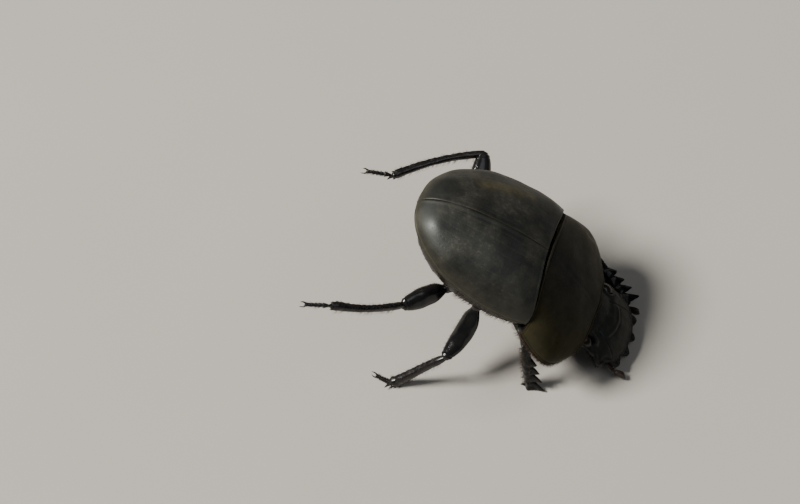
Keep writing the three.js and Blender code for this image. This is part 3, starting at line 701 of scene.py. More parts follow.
def elytron(name, side):
    place = np.sin(PI / 2 * edged(190, 0.012, 0.004))[:, None]
    angle = PI / 2 * edged(150, 0.02, 0.01)
    outer = dome(place, angle, 0)
    to_rim, to_base = arcs(outer, 1), arcs(outer, 0)
    whole = to_rim[:, -1:]
    to_suture = whole - to_rim
    lift, dust_and_painted_bounce = elytron_relief(outer, to_suture, to_rim, to_base, place, side)
    drop = rounded(to_rim, 0.16) + rounded(to_suture, 0.11) + rounded(to_base, 0.16)
    outer = raised(outer, lift * ease(whole, 0.2, 2.5) - np.minimum(drop, 0.3 * whole))
    inner = dome(place, np.linspace(PI / 2, 0, 18), ELYTRON_THICKNESS)
    rings = np.concatenate([outer, inner], 1) + vec(0, SUTURE_SLIT / 2, 0)
    dust_and_painted_bounce = np.concatenate([dust_and_painted_bounce, np.zeros(inner.shape[:2])], 1)
    shell = loft(moved(mirrored((1, 1, 1), side) * rings, HIND_FRAME))
    add_piece(f"wing_case_{name}", [shell], "wing_case", [f"elytron_{name}"], dust_and_painted_bounce)


def socket(pair, x, y, rim, depth):
    """The raised rim and the hollow round the coxae of one pair of legs."""
    middle_x, middle_y, _ = COXA_AT[pair]
    slant = np.radians(COXA_SLANT[pair]) * np.sign(y)
    dx, dy = x - middle_x, y - np.sign(y) * middle_y
    along = (dx * np.cos(slant) + dy * np.sin(slant)) / (COXA[pair][0] + SOCKET_MARGIN)
    aside = (dy * np.cos(slant) - dx * np.sin(slant)) / (COXA[pair][1] + SOCKET_MARGIN)
    reach = np.hypot(along, aside)
    return rim * bell(reach - 1.12, 0.12) - depth * (1 - ease(reach, 0.75, 1.02))


def belly_bottom(place, angle):
    y = (HIND_HALF_WIDTH - BELLY_INSET) * hind_plan(place) * np.cos(angle)
    run = (place - STERNITE_FIRST) / (STERNITE_LAST - STERNITE_FIRST) * STERNITES
    step = np.where((run > 0) & (run < STERNITES), STERNITE_STEP * ease(run % 1, 0, 0.95), 0)
    depth = HIND_DEPTH * tapered(place, 0, 5) * (0.93 + 0.07 * np.sin(PI * place))
    z = -SUTURE_GAP - (depth - step) * np.abs(np.sin(angle)) ** 0.7
    return hind_point(place, y, z, ELYTRON_THICKNESS)


def belly_lift(grid, place):
    """The sutures of the underside: midline, side plates and the rims of the leg sockets."""
    x, y = grid[..., 0], grid[..., 1]
    thorax = 1 - ease(place, 0.42, 0.46)
    sutures = 0.07 * bell(y, 0.1) + 0.09 * bell(np.abs(y) - (5.9 + 0.25 * (x + 4)), 0.11)
    sutures += 0.1 * bell(x + 4.4 + 0.12 * np.abs(y), 0.12) * (np.abs(y) < 6)
    rims = sum(socket(pair, x, y, 0.1, 0.35) for pair in ("mid", "hind"))
    return 0.03 * ripple(grid, 2.4, 21) - sutures * thorax + rims


def belly():
    """The whole underside as one closed body, then cut into thorax, abdomen and pygidium."""
    place = np.sin(PI / 2 * np.linspace(0, 1, 170))[:, None]
    bottom = belly_bottom(place, np.linspace(0, PI, 200))
    bottom = raised(bottom, -belly_lift(bottom, place))
    top = dome(place, np.linspace(PI, 0, 24), ELYTRON_THICKNESS + 1.5 * SUTURE_GAP)
    points, faces = loft(np.concatenate([bottom, top], 1))
    half_gap = SUTURE_GAP / 2
    slices = {
        "thorax_under": (METASTERNUM_END + half_gap, HIND_LENGTH),
        "abdomen": (PYGIDIUM_START + half_gap, METASTERNUM_END - half_gap),
        "pygidium": (-2 * HIND_LENGTH, PYGIDIUM_START - half_gap),
    }
    for name, (low, high) in slices.items():
        shells = [placed(between(points, faces, low, high), HIND_FRAME)]
        if name == "thorax_under":
            shells.append(ellipsoid(COLLAR_AT, COLLAR_RADII, HIND_FRAME, 0, 60, 90, (0.06, 0.5, 22)))
        add_piece(f"{name}_shell", shells, "underside", [name])
    return bottom


# ---- prothorax ----
# `place` runs from 0 at the rear edge to 1 at the front edge.
def prothorax_point(place, y, z):
    rear = SHOULDER_ADVANCE * (y / HIND_HALF_WIDTH) ** 2 - z * np.tan(np.radians(PROTHORAX["pitch"]))
    front = PRONOTUM_ADVANCE * (y / PRONOTUM_HALF_WIDTH) ** 2
    x = PRONOTUM_LENGTH * place + (1 - place) * rear + place * front
    return stacked(x, y, z)


def prothorax_half_width(place):
    rear = 0.9 + 0.1 * np.sin(PI / 2 * np.clip(place / PRONOTUM_WIDEST, 0, 1))
    front = 1 - 0.36 * np.clip((place - PRONOTUM_WIDEST) / (1 - PRONOTUM_WIDEST), 0, 1) ** 2.2
    return PRONOTUM_HALF_WIDTH * np.where(place < PRONOTUM_WIDEST, rear, front)


def pronotum():
    """The neck shield: edge beads, notched at the sides, a faint midline and a pit on each side."""
    place = edged(150, 0.015, 0.012)[:, None]
    angle = PI * edged(240, 0.012, 0.012)
    half_width = prothorax_half_width(place)
    height = PRONOTUM_HEIGHT * (1 - 0.36 * place ** 1.8) * np.abs(np.sin(angle)) ** 0.9
    outer = prothorax_point(place, half_width * np.cos(angle), height)
    from_left, to_rear = arcs(outer, 1), arcs(outer, 0)
    to_rim = np.minimum(from_left, from_left[:, -1:] - from_left)
    to_front = to_rear[-1:] - to_rear
    y = outer[..., 1]
    fovea = bell((place - FOVEA_PLACE) * PRONOTUM_LENGTH, 0.75) * bell(np.abs(y) - FOVEA_ASIDE, 0.6)
    notches = bell(to_rim, 0.22) * (0.5 - 0.5 * np.cos(2 * PI * to_rear / SIDE_NOTCH_STEP))
    midline = bell(y, 0.3) * ease(place, 0.06, 0.2) * (1 - ease(place, 0.75, 0.92))
    lift = 0.05 * ripple(outer, 4.6, 31)
    lift += bead("pronotum_rim", to_rim) + bead("pronotum_front", to_front) + bead("pronotum_rear", to_rear)
    lift -= 0.025 * midline + 0.16 * fovea + 0.09 * notches * ease(place, 0.15, 0.35)
    drop = rounded(to_rim, 0.14) + rounded(to_front, 0.12) + rounded(to_rear, 0.12)
    outer = raised(outer, drop - lift)
    under_y = (half_width - 0.04) * np.cos(np.linspace(PI, 0, 40))
    rings = np.concatenate([outer, prothorax_point(place, under_y, -PRONOTUM_RIM)], 1)
    lip = rings[-1:] * vec(1, 0.93, 0.86)
    recess = rings[-1:] * vec(1, 0.9, 0.8) + vec(-1.3, 0, -0.1)
    back = rings[:1] * vec(1, 0.94, 0.86) + vec(0.5, 0, 0)
    rings = np.concatenate([back, rings, lip, recess])
    # The lower sides, towards the rim, take painted warm bounce light from the ground; the beads, pits and
    # rear edge take settled soil.
    low = 0.95 * (1 - ease(to_rim, 2.5, 11.5))
    dust_and_painted_bounce = np.zeros(rings.shape[:2])
    dust_and_painted_bounce[1:-2, :outer.shape[1]] = np.clip(
        low + bell(to_rim - 0.46, 0.16) + 0.5 * fovea + 0.3 * bell(to_rear, 0.5), 0, 1)
    add_piece("pronotum_shield", [loft(moved(rings, PROTHORAX_FRAME))], "pronotum", ["pronotum"], dust_and_painted_bounce)
    return outer, to_rim, to_front, to_rear


def prosternum():
    place = np.linspace(0, 1, 100)[:, None]
    angle = np.linspace(0, PI, 150)
    half_width = prothorax_half_width(place) - 0.3
    depth = PROSTERNUM_DEPTH * (1 - 0.7 * place ** 1.6) * np.sin(angle) ** 1.8
    top_z = -PRONOTUM_RIM - SUTURE_GAP
    bottom = prothorax_point(place, half_width * np.cos(angle), top_z - 0.15 - depth)
    x, y = bottom[..., 0], bottom[..., 1]
    lift = 0.04 * ripple(bottom, 1.6, 41) - 0.08 * bell(np.abs(y) - 4.6 - 0.15 * x, 0.12)
    bottom = raised(bottom, lift + socket("fore", x, y, 0.12, 0.4))
    top = prothorax_point(place, (half_width + 0.05) * np.cos(np.linspace(PI, 0, 30)), top_z)
    shell = loft(moved(np.concatenate([bottom, top], 1), PROTHORAX_FRAME))
    add_piece("prosternum_plate", [shell], "underside", ["prosternum"])
    return bottom


# ---- head ----
def smooth_max(a, b):
    return HEAD_JOIN * np.logaddexp(a / HEAD_JOIN, b / HEAD_JOIN)


def tooth_reach(turn):
    reach = np.zeros_like(turn)
    for middle in HEAD_TEETH:
        off = np.clip(np.abs(np.degrees(turn) - middle) / HEAD_TOOTH_HALF_ANGLE, 0, 1)
        reach = reach + HEAD_TOOTH_LENGTH * np.cos(PI / 2 * off) ** 1.6
    return reach


def shovel_reach(turn):
    """The shovel's plan radius: flatter behind than in front, with six blunt teeth."""
    ahead = np.abs(np.cos(turn)) / np.where(np.cos(turn) > 0, HEAD_FRONT, HEAD_REAR)
    aside = np.abs(np.sin(turn)) / HEAD_HALF_WIDTH
    return (ahead ** SHOVEL_SQUARE + aside ** SHOVEL_SQUARE) ** (-1 / SHOVEL_SQUARE) + tooth_reach(turn)


def cranium_reach(turn):
    (cx, _, _), (rx, ry, _) = CRANIUM_AT, CRANIUM_RADII
    a = (np.cos(turn) / rx) ** 2 + (np.sin(turn) / ry) ** 2
    half_b = -cx * np.cos(turn) / rx ** 2
    c = (cx / rx) ** 2 - 1
    return (np.sqrt(half_b ** 2 - a * c) - half_b) / a


def head_heights(x, y, turn):
    """Top and bottom of the head at plan points: the shovel's low dome joined smoothly to the cranium."""
    distance = np.hypot(x, y)
    shovel = shovel_reach(turn)
    share = np.clip(distance / (shovel - tooth_reach(turn)), 0, 1)
    past = np.clip(distance / shovel - 1, 0, None)
    round_off = ((x - CRANIUM_AT[0]) / CRANIUM_RADII[0]) ** 2 + (y / CRANIUM_RADII[1]) ** 2
    half = CRANIUM_RADII[2] * np.sqrt(np.clip(1 - round_off, 0, 1)) - 1.5 * np.clip(round_off - 1, 0, None)
    plate_top = 0.18 + HEAD_DOME * (1 - share ** 2) ** 0.8 - 4 * past
    plate_bottom = -np.interp(share, [0, 0.4, 0.8, 1], [0.85, 0.8, 0.55, 0.28]) + 3 * past
    top = smooth_max(plate_top, CRANIUM_AT[2] + half)
    return top, -smooth_max(-plate_bottom, half - CRANIUM_AT[2])


def head_relief(x, y, to_rim, front):
    """Raised rim, cheek and clypeal sutures, soft dents and the brows over the eyes."""
    aside = np.abs(y)
    lift = 0.035 * ripple(stacked(x, y, 0), 1.7, 51) + front * bead("shovel", to_rim)
    cheek = aside - (2.55 + 0.32 * x)
    lift -= 0.07 * bell(cheek, 0.1) * ease(x, -1.6, -1.1) * (1 - ease(x, 2.3, 2.9))
    arch = x - (0.75 - 0.14 * y ** 2)
    lift += 0.08 * bell(arch, 0.24) * (1 - ease(aside, 1.9, 2.6))
    lift -= 0.04 * bell(arch - 0.36, 0.14) * (1 - ease(aside, 2.2, 2.7))
    reach = np.hypot((x - EYE_AT[0]) / (EYE_RADII[0] + 0.1), (aside - EYE_AT[1]) / (EYE_RADII[1] + 0.1))
    inside = 1 - ease(aside, EYE_AT[1] - 0.1, EYE_AT[1] + 0.2)
    return lift + (0.3 * bell(reach - 0.85, 0.32) - 0.12 * bell(reach - 0.52, 0.08)) * inside


def head_pair(at, radii, slant, *detail):
    """A mirrored pair of ellipsoids on the head, the left one first."""
    sides = SIDES.values()
    return [ellipsoid(mirrored(at, side), radii, HEAD_FRAME, -side * slant, *detail) for side in sides]


def away_from(grid, outline):
    """Distance in plan of a grid's points from an outline, a row at a time."""
    return np.array([
        np.linalg.norm(row[:, None, :2] - outline[None, :, :2], axis=-1).min(1) for row in grid])


def head():
    turn = np.linspace(-PI, PI, 640, endpoint=False)
    share = np.sin(PI / 2 * np.linspace(0.01, 1, 90))[:, None]
    reach = np.maximum(shovel_reach(turn), cranium_reach(turn))
    x, y = share * reach * np.cos(turn), share * reach * np.sin(turn)
    top, bottom = head_heights(x, y, turn + 0 * share)
    middle = (top[-1:] + bottom[-1:]) / 2
    plan = stacked(x, y, top)
    to_rim = away_from(plan, plan[-1])
    front = ease(np.cos(turn + 0 * share), -0.25, 0.1)
    drop = rounded(to_rim, 0.2)
    top = np.maximum(top + head_relief(x, y, to_rim, front) - drop, middle)
    bottom = np.minimum(bottom + drop - 0.06 * bell(to_rim - 0.35, 0.2) * front, middle)
    upper, lower = stacked(x, y, top), stacked(x, y, bottom)[::-1][::2]
    shells = [loft(moved(np.concatenate([upper, lower]), HEAD_FRAME))]
    shells += head_pair(CANTHUS_AT, CANTHUS_RADII, 4, 30, 60, (0.03, 0.8, 53))
    dust_and_painted_bounce = np.zeros(sum(len(points) for points, _ in shells))
    dust_and_painted_bounce[:to_rim.size] = (0.35 * bell(to_rim - 0.5, 0.35) * front).ravel()
    add_piece("head_shield", shells, "head", ["head"], dust_and_painted_bounce)
    for name, ball in zip(SIDES, head_pair(EYE_AT, EYE_RADII, 0, 60, 90)):
        add_piece(f"eye_{name}_ball", [ball], "eye", [f"eye_{name}"])
    return upper, lower


def beads(start, end, count, radius):
    """Antennal beads along a line, each a little barrel."""
    step = (end - start) / count
    profile = [[0, 0.7 * radius], [0.5, radius], [1, 0.72 * radius]]
    barrels = (Limb(start + step * (k - 0.04), start + step * (k + 1.0), UP, profile) for k in range(count))
    return [barrel.shell(10, 18) for barrel in barrels]


def antenna(name):
    """The stalk, of a scape and five beads, and the three leaves of the club."""
    root, elbow, neck, club = (vec(*place) for place in ANTENNAE[name])
    scape = [[0, 0.2, 0.2], [0.2, 0.24, 0.23], [0.75, 0.25, 0.24], [0.94, 0.3, 0.28], [1, 0.22, 0.2]]
    leaf = [[0, 0.15, 0.08], [0.2, 0.33, 0.12], [0.6, 0.45, 0.125], [0.88, 0.37, 0.11], [1, 0.2, 0.07]]
    stalk = [Limb(root, elbow, UP, scape).shell(30, 22)] + beads(elbow, neck, 5, 0.28)
    axis = unit(club)
    thin = np.cross(axis, unit(vec(*UP) - axis * axis[2]))
    leaves = []
    for spread in (-1, 0, 1):
        start = neck + (0.1 + 0.12 * spread) * axis + spread * 0.13 * thin
        end = start + axis * 1.42 + spread * 0.1 * thin
        leaves.append(Limb(start, end, UP, leaf).shell(34, 30, blunt=0.5))
    for piece, shells, finish, node in (
            (f"antenna_{name}_stalk", stalk, "antenna", f"antenna_{name}"),
            (f"antenna_{name}_leaves", leaves, "antenna_club", f"antenna_club_{name}")):
        add_piece(piece, [placed(shell, HEAD_FRAME) for shell in shells], finish, [node])


def mouthparts():
    """A two-lobed chin plate and a pair of three-jointed palps under the head."""
    shells = head_pair(CHIN_AT, CHIN_RADII, 6)
    for side in SIDES.values():
        root, tip = mirrored(PALP_ROOT, side), mirrored(PALP_TIP, side)
        for first, last, radius in PALP_JOINTS:
            start, end = root + (tip - root) * first, root + (tip - root) * last
            joint = Limb(start, end, UP, [[0, 0.6 * radius], [0.55, radius], [1, 0.5 * radius]])
            shells.append(placed(joint.shell(16, 18), HEAD_FRAME))
    add_piece("mouthpart_plate", shells, "underside", ["mouthparts"])


# ---- legs ----
class Leg:
    """The joints of one leg in the floor frame, with the tubes its pieces are drawn on."""

    def __init__(self, name):
        self.name = name
        self.pair, side_name = name.split("_")
        self.side = SIDES[side_name]
        joints = [vec(*at) + vec(WAIST[0], WAIST[1], 0) for at in LEGS[name]]
        self.knee, self.ankle, self.toe = joints[0], joints[1], joints[-1]
        self.frame = PROTHORAX_FRAME if self.pair == "fore" else HIND_FRAME
        x, y, z = COXA_AT[self.pair]
        _, wide, deep = COXA[self.pair]
        outwards = 0 if self.pair == "fore" else wide * 0.5
        self.trochanter = moved(vec(x, self.side * (y + outwards), z - 0.6 * deep), self.frame)
        self.hip = self.trochanter + unit(self.knee - self.trochanter) * HIP_REACH
        self.shank_axis = unit(self.ankle - self.knee)
        self.shank_length = np.linalg.norm(self.ankle - self.knee)
        wide, thick = FEMUR[self.pair]
        stations = [
            [0, 0.45, 0.4], [0.06, 0.62, 0.5], [0.2, 0.85 * wide, 0.85 * thick], [0.42, wide, thick],
            [0.66, 0.95 * wide, 0.92 * thick], [0.86, 0.74 * wide, 0.75 * thick],
            [0.96, 0.58 * wide, 0.6 * thick], [1, 0.4 * wide, 0.42 * thick],
        ]
        bow = self.side * FEMUR_BOW[self.pair]
        self.femur = Limb(self.hip, self.knee, -self.shank_axis, stations, bow, 2.2)
        if self.pair == "fore":
            outward = vec(1, self.side * 0.15, 0.1)
            self.blade_outer = unit(outward - self.shank_axis * (outward @ self.shank_axis))
            return
        wide, thick = TIBIA[self.pair]
        stations = [
            [0, 0.36, 0.34], [0.05, 0.44, 0.4], [0.3, 0.62 * wide + 0.12, 0.8 * thick],
            [0.6, 0.8 * wide, 0.92 * thick], [0.88, wide, thick], [0.97, 1.08 * wide, thick],
            [1, 0.8 * wide, 0.75 * thick],
        ]
        bow = self.side * HIND_TIBIA_BOW if self.pair == "hind" else 0
        self.tibia = Limb(self.knee, self.ankle, UP, stations, bow, 2.6)
        self.foot = unit(self.toe - self.ankle)
        self.heel = self.ankle + self.foot * ANKLE_GAP

    def femur_lift(self, place, angle):
        """Soft dents, a low keel along the front edge and a lip round the knee."""
        rise = 0.025 * ripple(self.femur.point(place, angle), 2.0, 61)
        rise = rise + 0.07 * bell(np.sin(angle / 2), 0.16) * ease(place, 0.15, 0.3)
        return rise + 0.05 * (bell(place - 0.965, 0.02) - bell(place - 0.93, 0.02))

    def tibia_lift(self, place, angle):
        """A keel along each outer edge, notched all the way."""
        keel = bell(np.sin((angle - PI / 4) / 2), 0.2) + bell(np.sin((angle - 3 * PI / 4) / 2), 0.2)
        notch = 0.5 + 0.5 * np.cos(2 * PI * place * self.tibia.length / TIBIA_NOTCH_STEP)
        rough = 0.015 * ripple(self.tibia.point(place, angle), 1.1, 64)
        return rough + keel * ease(place, 0.12, 0.25) * (0.045 + 0.035 * notch)


def spur(root, tip, radius, bow=0.12):
    stations = [[0, 0.7 * radius], [0.12, radius], [0.7, 0.72 * radius], [1, 0.12 * radius]]
    return Limb(root, tip, (0.1, 0.2, 1), stations, bow).shell(26, 16)


def blade_inner(x, length):
    return -np.interp(x, [0, 0.5 * length, length], BLADE_INNER_EDGE)


def blade_half(x, across, length):
    """Half the digging blade's thickness: a lens with a rounded rib along it."""
    lens = 0.08 + 0.22 * np.clip(1 - ((across + 0.1) / 1.9) ** 2, 0, 1) + 0.34 * bell(across + 0.1, 0.5)
    return lens * np.interp(x, [0, 0.06 * length, length], [0.85, 1, 0.85])


def blade(leg):
    """The digging tibia: a lens-shaped blade with a mid rib, four forward-leaning teeth and fine notches."""
    axis, length, outer = leg.shank_axis, leg.shank_length, leg.blade_outer
    normal = np.cross(axis, outer)
    x = np.linspace(0, 1, 260)[:, None] * length
    turn = around(72)
    edge = np.interp(x, [0, 0.12 * length, 0.3 * length, length], [0.36, 0.5, 0.56, 0.5])
    for k, place in enumerate(FORE_TEETH):
        reach = 1.24 + 0.21 * k
        middle = place * length + 0.2 - FORE_TOOTH_LEAN * (reach - 0.5)
        off = np.clip((x - middle) / (FORE_TOOTH_HALF_BASE * length), -1, 1)
        edge = edge + (reach - edge) * (1 - np.abs(off) ** 1.5) ** 1.3
    edge = edge + 0.05 * np.abs(np.sin(x * 8.5)) * ease(x, 0.6, 1.2)
    inner = blade_inner(x, length)
    across = inner + (edge - inner) * (0.5 - 0.5 * np.cos(turn))
    half = blade_half(x, across, length) + 0.02 * ripple(stacked(x, across, 0), 0.9, 63)
    deep = np.sign(np.sin(turn)) * np.abs(np.sin(turn)) ** 0.75 * half
    along = x + FORE_TOOTH_LEAN * np.clip(across - 0.5, 0, None)
    body = leg.knee + along[..., None] * axis + across[..., None] * outer + deep[..., None] * normal
    knee_end = domed(body[0], axis * -0.3, BLADE_CAP_TURNS[::-1])
    foot_end = domed(body[-1], axis * 0.22, BLADE_CAP_TURNS)
    root = leg.knee + axis * 0.93 * length - outer * 0.5
    tip = leg.knee + axis * 1.06 * length - outer * 1.35
    return [loft(np.concatenate([knee_end, body, foot_end])), spur(root, tip, 0.2)]


def shank(leg):
    """The walking tibia, with its long spur and a crown of spinules."""
    root = leg.knee + (leg.ankle - leg.knee) * 0.95
    away = leg.shank_axis - 0.35 * leg.foot
    away[2] = max(away[2], 0)
    shells = [leg.tibia.shell(110, 40, leg.tibia_lift), spur(root, root + unit(away) * 1.5, 0.21)]
    for turn in around(9):
        rim = leg.tibia.point(0.985, turn, -0.04)
        out = leg.shank_axis + 0.45 * leg.tibia.outwards(turn)
        shells.append(spur(rim, rim + 0.34 * unit(out), 0.06, 0.02))
    return shells


def tarsus(leg):
    """Five flared joints and a pair of curved claws."""
    wide = unit(vec(*UP) - leg.foot * leg.foot[2])
    shells = []
    for k in range(5):
        start, end = (leg.heel + (leg.toe - leg.heel) * TARSUS_JOINTS[k + i] for i in (0, 1))
        big = 0.36 - 0.018 * k
        stations = [[0, 0.16, 0.15], [0.18, 0.21, 0.2], [0.7, 0.85 * big, 0.8 * big], [0.9, big, 0.9 * big],
                    [1, 0.6 * big, 0.5 * big]]
        shells.append(Limb(start, end + 0.05 * leg.foot, wide, stations).shell(22, 20))
    claw = [[0, 0.12, 0.12], [0.3, 0.105, 0.1], [0.75, 0.06, 0.06], [1, 0.015, 0.015]]
    for side in (1, -1):
        root = leg.toe - leg.foot * 0.12 + wide * side * 0.09
        tip = root + leg.foot * 0.82 + wide * side * 0.42
        shells.append(Limb(root, tip, wide, claw, 0.14 * side).shell(24, 14))
    return shells


def build_leg(name):
    leg = Leg(name)
    slant = leg.side * COXA_SLANT[leg.pair]
    at = mirrored(COXA_AT[leg.pair], leg.side)
    coxa = ellipsoid(at, COXA[leg.pair], leg.frame, slant, 50, 70, (0.03, 1.0, 65))
    neck = Limb(leg.trochanter, leg.hip + leg.femur.axis * 0.35, leg.femur.wide,
                [[0, 0.5, 0.5], [0.4, 0.7, 0.6], [0.8, 0.62, 0.55], [1, 0.45, 0.4]]).shell(24, 28)
    thigh = leg.femur.shell(100, 56, leg.femur_lift)
    add_piece(f"coxa_{name}_shell", [on_floor(coxa)], "leg", [f"coxa_{name}"])
    add_piece(f"femur_{name}_shell", [neck, thigh], "leg", [f"femur_{name}"])
    shells, finish = (blade(leg), "blade") if leg.pair == "fore" else (shank(leg), "dusty_leg")
    add_piece(f"tibia_{name}_shell", [on_floor(shell) for shell in shells], finish, [f"tibia_{name}"])
    if leg.pair != "fore":
        shells = [on_floor(shell) for shell in tarsus(leg)]
        add_piece(f"tarsus_{name}_joints", shells, "dusty_leg", [f"tarsus_{name}"])
    return leg


# ---- setae ----
def scatter(rng, grid, weight, count, sign=1):
    """Random points over a grid, as many as `weight` asks: places, outward ways and unwrap coordinates."""
    normals = sign * grid_normals(grid)
    area = np.linalg.norm(grid_cross(grid), axis=-1)
    chance = (np.broadcast_to(weight, area.shape) * area)[:-1, :-1].ravel()
    pick = rng.choice(len(chance), count, p=chance / chance.sum())
    row, column = np.divmod(pick, grid.shape[1] - 1)
    down, along = rng.uniform(size=(2, count))
    at, way = 0, 0
    for r, part_down in enumerate((1 - down, down)):
        for c, part_along in enumerate((1 - along, along)):
            part = (part_down * part_along)[:, None]
            at = at + part * grid[row + r, column + c]
            way = way + part * normals[row + r, column + c]
    unwrap = stacked((row + down) / (grid.shape[0] - 1), (column + along) / (grid.shape[1] - 1))
    return at, unit(way), 0.02 + 0.96 * unwrap


def jitter(rng, count, amount):
    return rng.normal(0, amount, (count, 3))


def comb(coat, rng, matrix, at, ways, sag, length, radius, unwrap):
    """Bristles of uneven length in a body frame, sagging along `sag`."""
    lengths = length * rng.uniform(0.5, 1.1, len(at))
    coat.add(moved(at, matrix), turned(ways, matrix), sag, lengths, radius, unwrap)


def limb_rows(coat, rng, limb, angles, span, per_mm, length, radius, lean, column):
    """Bristles in rows along a limb, at `angles` round it; `column` is the limb's strip of the unwrap."""
    count = int((span[1] - span[0]) * limb.length * per_mm * len(angles))
    place = rng.uniform(*span, count)
    angle = rng.choice(angles, count) + rng.normal(0, 0.16, count)
    ways = limb.outwards(angle) + lean * limb.axis + jitter(rng, count, 0.13)
    unwrap = stacked(column + 0.28 * (angle / (2 * PI) % 1), 0.02 + 0.96 * place)
    lengths = length * rng.uniform(0.55, 1.1, count)
    coat.add(limb.point(place, angle, -0.01), ways, 0.5 * limb.axis, lengths, radius, unwrap)


ALL_ROUND = [0, PI / 2, PI, -PI / 2]
# Rows along each limb: angles, span, bristles per mm, length, radius, lean and strip of the unwrap.
FEMUR_ROWS = (
    ([PI * 0.94, PI * 1.06], (0.15, 0.93), 3.2, 0.42, 0.02, 0.55, 0.0),
    ([0.0, PI / 2, -PI / 2], (0.2, 0.95), 1.1, 0.2, 0.015, 0.9, 0.0),
)
TIBIA_ROWS = (
    ([PI / 4, 3 * PI / 4], (0.12, 0.97), 5.5, 0.5, 0.024, 0.8, 0.35),
    ([-PI / 4, -3 * PI / 4], (0.1, 0.97), 7, 0.62, 0.02, 0.7, 0.35),
    (ALL_ROUND, (0.05, 0.95), 2.2, 0.24, 0.016, 1.1, 0.35),
)
FOOT_ROWS = (
    (ALL_ROUND, (0.02, 0.97), 6, 0.42, 0.018, 0.9, 0.7),
    ([PI * 0.9, -PI * 0.9], (0.05, 0.97), 7, 0.5, 0.02, 0.8, 0.7),
)
# Rows on the digging blade: count, share of the way to the inner edge, tilt, length, rise off the face.
BLADE_ROWS = ((150, 1, -1.0, 0.7, 0.05), (110, 0.45, -0.2, 0.3, 1.0), (90, -0.5, 0.25, 0.3, 1.0))


def leg_setae(leg):
    rng = np.random.default_rng(700 + list(LEGS).index(leg.name))
    coat = Bristles()
    rows = [(leg.femur, row) for row in FEMUR_ROWS]
    if leg.pair != "fore":
        foot = Limb(leg.heel, leg.toe, UP, [[0, 0.24, 0.22], [0.5, 0.26, 0.24], [1, 0.22, 0.2]])
        rows += [(leg.tibia, row) for row in TIBIA_ROWS] + [(foot, row) for row in FOOT_ROWS]
    for limb, row in rows:
        limb_rows(coat, rng, limb, *row)
    if leg.pair == "fore":
        blade_setae(coat, rng, leg)
    coat.piece(f"{leg.name}_setae", "bristle", "leg_shell")


def blade_setae(coat, rng, leg):
    """A dense fringe along the blade's inner edge and short stiff bristles along its rib."""
    axis, outer, length = leg.shank_axis, leg.blade_outer, leg.shank_length
    normal = np.cross(axis, outer)
    for count, edge, tilt, bristle, rise in BLADE_ROWS:
        x = rng.uniform(0.08, 0.95, count) * length
        face = rng.choice([-1, 1], count)[:, None]
        across = blade_inner(x, length) * edge + rng.normal(0, 0.06, count)
        height = 0.06 if edge == 1 else 0.93 * blade_half(x, across, length)[:, None]
        roots = leg.knee + x[:, None] * axis + across[:, None] * outer + face * height * normal
        ways = tilt * outer + 0.6 * axis + face * rise * normal + jitter(rng, count, 0.12)
        unwrap = stacked(0.5 + 0.14 * across + 0.12 * face[:, 0], 0.02 + 0.96 * x / length)
        coat.add(roots, ways, 0.4 * axis, bristle * rng.uniform(0.6, 1.1, count), 0.022, unwrap)


def pronotum_setae(outer, to_rim, to_front, to_rear):
    """A reddish fringe below the side beads, and shorter rows along the front and rear edges."""
    rng = np.random.default_rng(801)
    coat = Bristles()
    for weight, count, length, lean in (
            (bell(to_rim, 0.1) * (to_front > 0.3), 2600, 0.55, vec(0.25, 0, -0.5)),
            (bell(to_front, 0.08) * (to_rim > 0.3), 1500, 0.4, vec(1.2, 0, -0.5)),
            (bell(to_rear, 0.08) * (to_rim > 0.3), 1100, 0.3, vec(-1.2, 0, -0.4))):
        at, way, unwrap = scatter(rng, outer, weight, count, -1)
        at = at + vec(0, 0, -0.16) * rng.uniform(0.3, 1, (count, 1))
        ways = way * vec(0.3, 1, 0.3) + lean + jitter(rng, count, 0.16)
        comb(coat, rng, PROTHORAX_FRAME, at, ways, vec(0, 0, -0.35), length, 0.018, unwrap)
    coat.piece("pronotum_setae", "fringe", "dorsal_shell")


def head_setae(upper, lower):
    """Short hairs standing out from under the shovel's edge, and on the cheeks behind the last teeth."""
    rng = np.random.default_rng(802)
    coat = Bristles()
    weight = bell(away_from(lower, upper[-1]) - 0.35, 0.14) * ease(lower[..., 0], -1.4, -0.4)
    at, _, unwrap = scatter(rng, lower, weight, 1500)
    ways = unit(at * vec(1, 1, 0)) + vec(0, 0, -0.35) + jitter(rng, len(at), 0.15)
    comb(coat, rng, HEAD_FRAME, at, ways, vec(0, 0, -0.3), 0.62, 0.017, unwrap)
    coat.piece("head_setae", "fringe", "dorsal_shell")


def underside_setae(belly_grid, prosternum_grid):
    """Long soft hair on the breast and neck, short on the abdomen."""
    rng = np.random.default_rng(803)
    coat = Bristles()
    breast = 1 - ease(-belly_grid[..., 0], 6.8, 7.6)
    for grid, weight, count, length, sign, matrix, page in (
            (belly_grid, breast, 2400, 0.62, -1, HIND_FRAME, 0.0),
            (belly_grid, 1 - breast, 900, 0.22, -1, HIND_FRAME, 0.0),
            (prosternum_grid, 1.0, 2200, 0.7, 1, PROTHORAX_FRAME, 0.5)):
        at, way, unwrap = scatter(rng, grid, weight, count, sign)
        ways = way + vec(-0.7, 0, 0) + jitter(rng, count, 0.2)
        place = unwrap * vec(0.5, 1) + vec(page, 0)
        comb(coat, rng, matrix, at, ways, vec(-0.3, 0, 0), length, 0.016, place)
    coat.piece("underside_setae", "bristle", "ventral_shell")


# ---- assembly ----
for side_name, side in SIDES.items():
    elytron(side_name, side)
    antenna(side_name)
underside_setae(belly(), prosternum())
pronotum_setae(*pronotum())
head_setae(*head())
mouthparts()
for name in LEGS:
    leg_setae(build_leg(name))


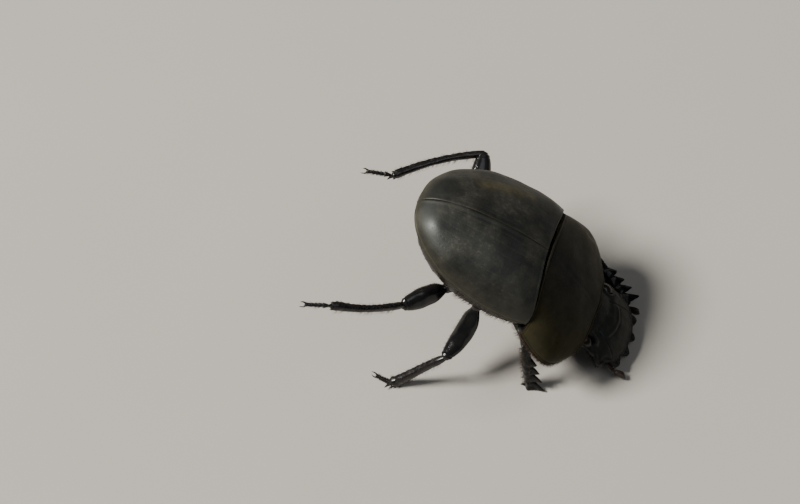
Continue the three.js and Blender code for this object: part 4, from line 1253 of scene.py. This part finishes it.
# ---- stage ----
FLOOR_RADIUS, FLOOR_SIDES = 1500, 96
turn = around(FLOOR_SIDES)
rim = FLOOR_RADIUS * stacked(np.cos(turn), np.sin(turn), 0)
disc = new_mesh("floor", rim, [list(range(FLOOR_SIDES))])
paper = Finish("paper", Roughness=0.9, Specular_IOR_Level=0.2)
pale = paper.mix(paper.noise(30, 2), rgb(0.315, 0.299, 0.272), rgb(0.337, 0.32, 0.291))
disc.materials.append(paper.set(Base_Color=pale))
floor = link("floor", disc)

VIEW_RIGHT, VIEW_UP = vec(0.9641, 0.2656, 0), vec(-0.2300, 0.8349, 0.5)
VIEW_BACK = vec(0.1328, -0.4820, 0.8660)
VIEW_WIDTH, VIEW_FROM_WAIST = 94.45, (-15.47, 1.18)
LENS, SENSOR = 200, 36
centre = vec(*WAIST) + VIEW_FROM_WAIST[0] * VIEW_RIGHT + VIEW_FROM_WAIST[1] * VIEW_UP
camera = link("camera", bpy.data.cameras.new("camera"))
camera.data.lens, camera.data.sensor_width = LENS, SENSOR
camera.data.clip_start, camera.data.clip_end = 10 * MM, 20000 * MM
camera.location = Vector((centre + VIEW_BACK * VIEW_WIDTH * LENS / SENSOR) * MM)
camera.rotation_euler = Matrix(np.stack([VIEW_RIGHT, VIEW_UP, VIEW_BACK], 1).tolist()).to_euler()
bpy.context.scene.camera = camera

LIGHTS_AIM = vec(0, 0, 8)
# Way to each light, its distance, size, watts and colour.
LIGHTS = {
    "key": (vec(-0.62, -0.2, 0.76), 1400, 430, 52, (1.0, 0.965, 0.91)),
    "fill": (vec(0.5, -0.12, 0.85), 1000, 700, 1.8, (0.93, 0.96, 1.0)),
}
for name, (way, distance, size, watts, colour) in LIGHTS.items():
    lamp = bpy.data.lights.new(name, "AREA")
    lamp.shape, lamp.size, lamp.energy, lamp.color = "DISK", size * MM, watts, colour
    light = link(name, lamp)
    light.location = Vector((LIGHTS_AIM + unit(way) * distance) * MM)
    light.rotation_euler = Vector(unit(way)).to_track_quat("Z", "Y").to_euler()

world = bpy.data.worlds.new("studio")
world.use_nodes = True
background = world.node_tree.nodes["Background"]
background.inputs["Color"].default_value = rgb(0.86, 0.90, 0.97)
background.inputs["Strength"].default_value = 0.105
bpy.context.scene.world = world
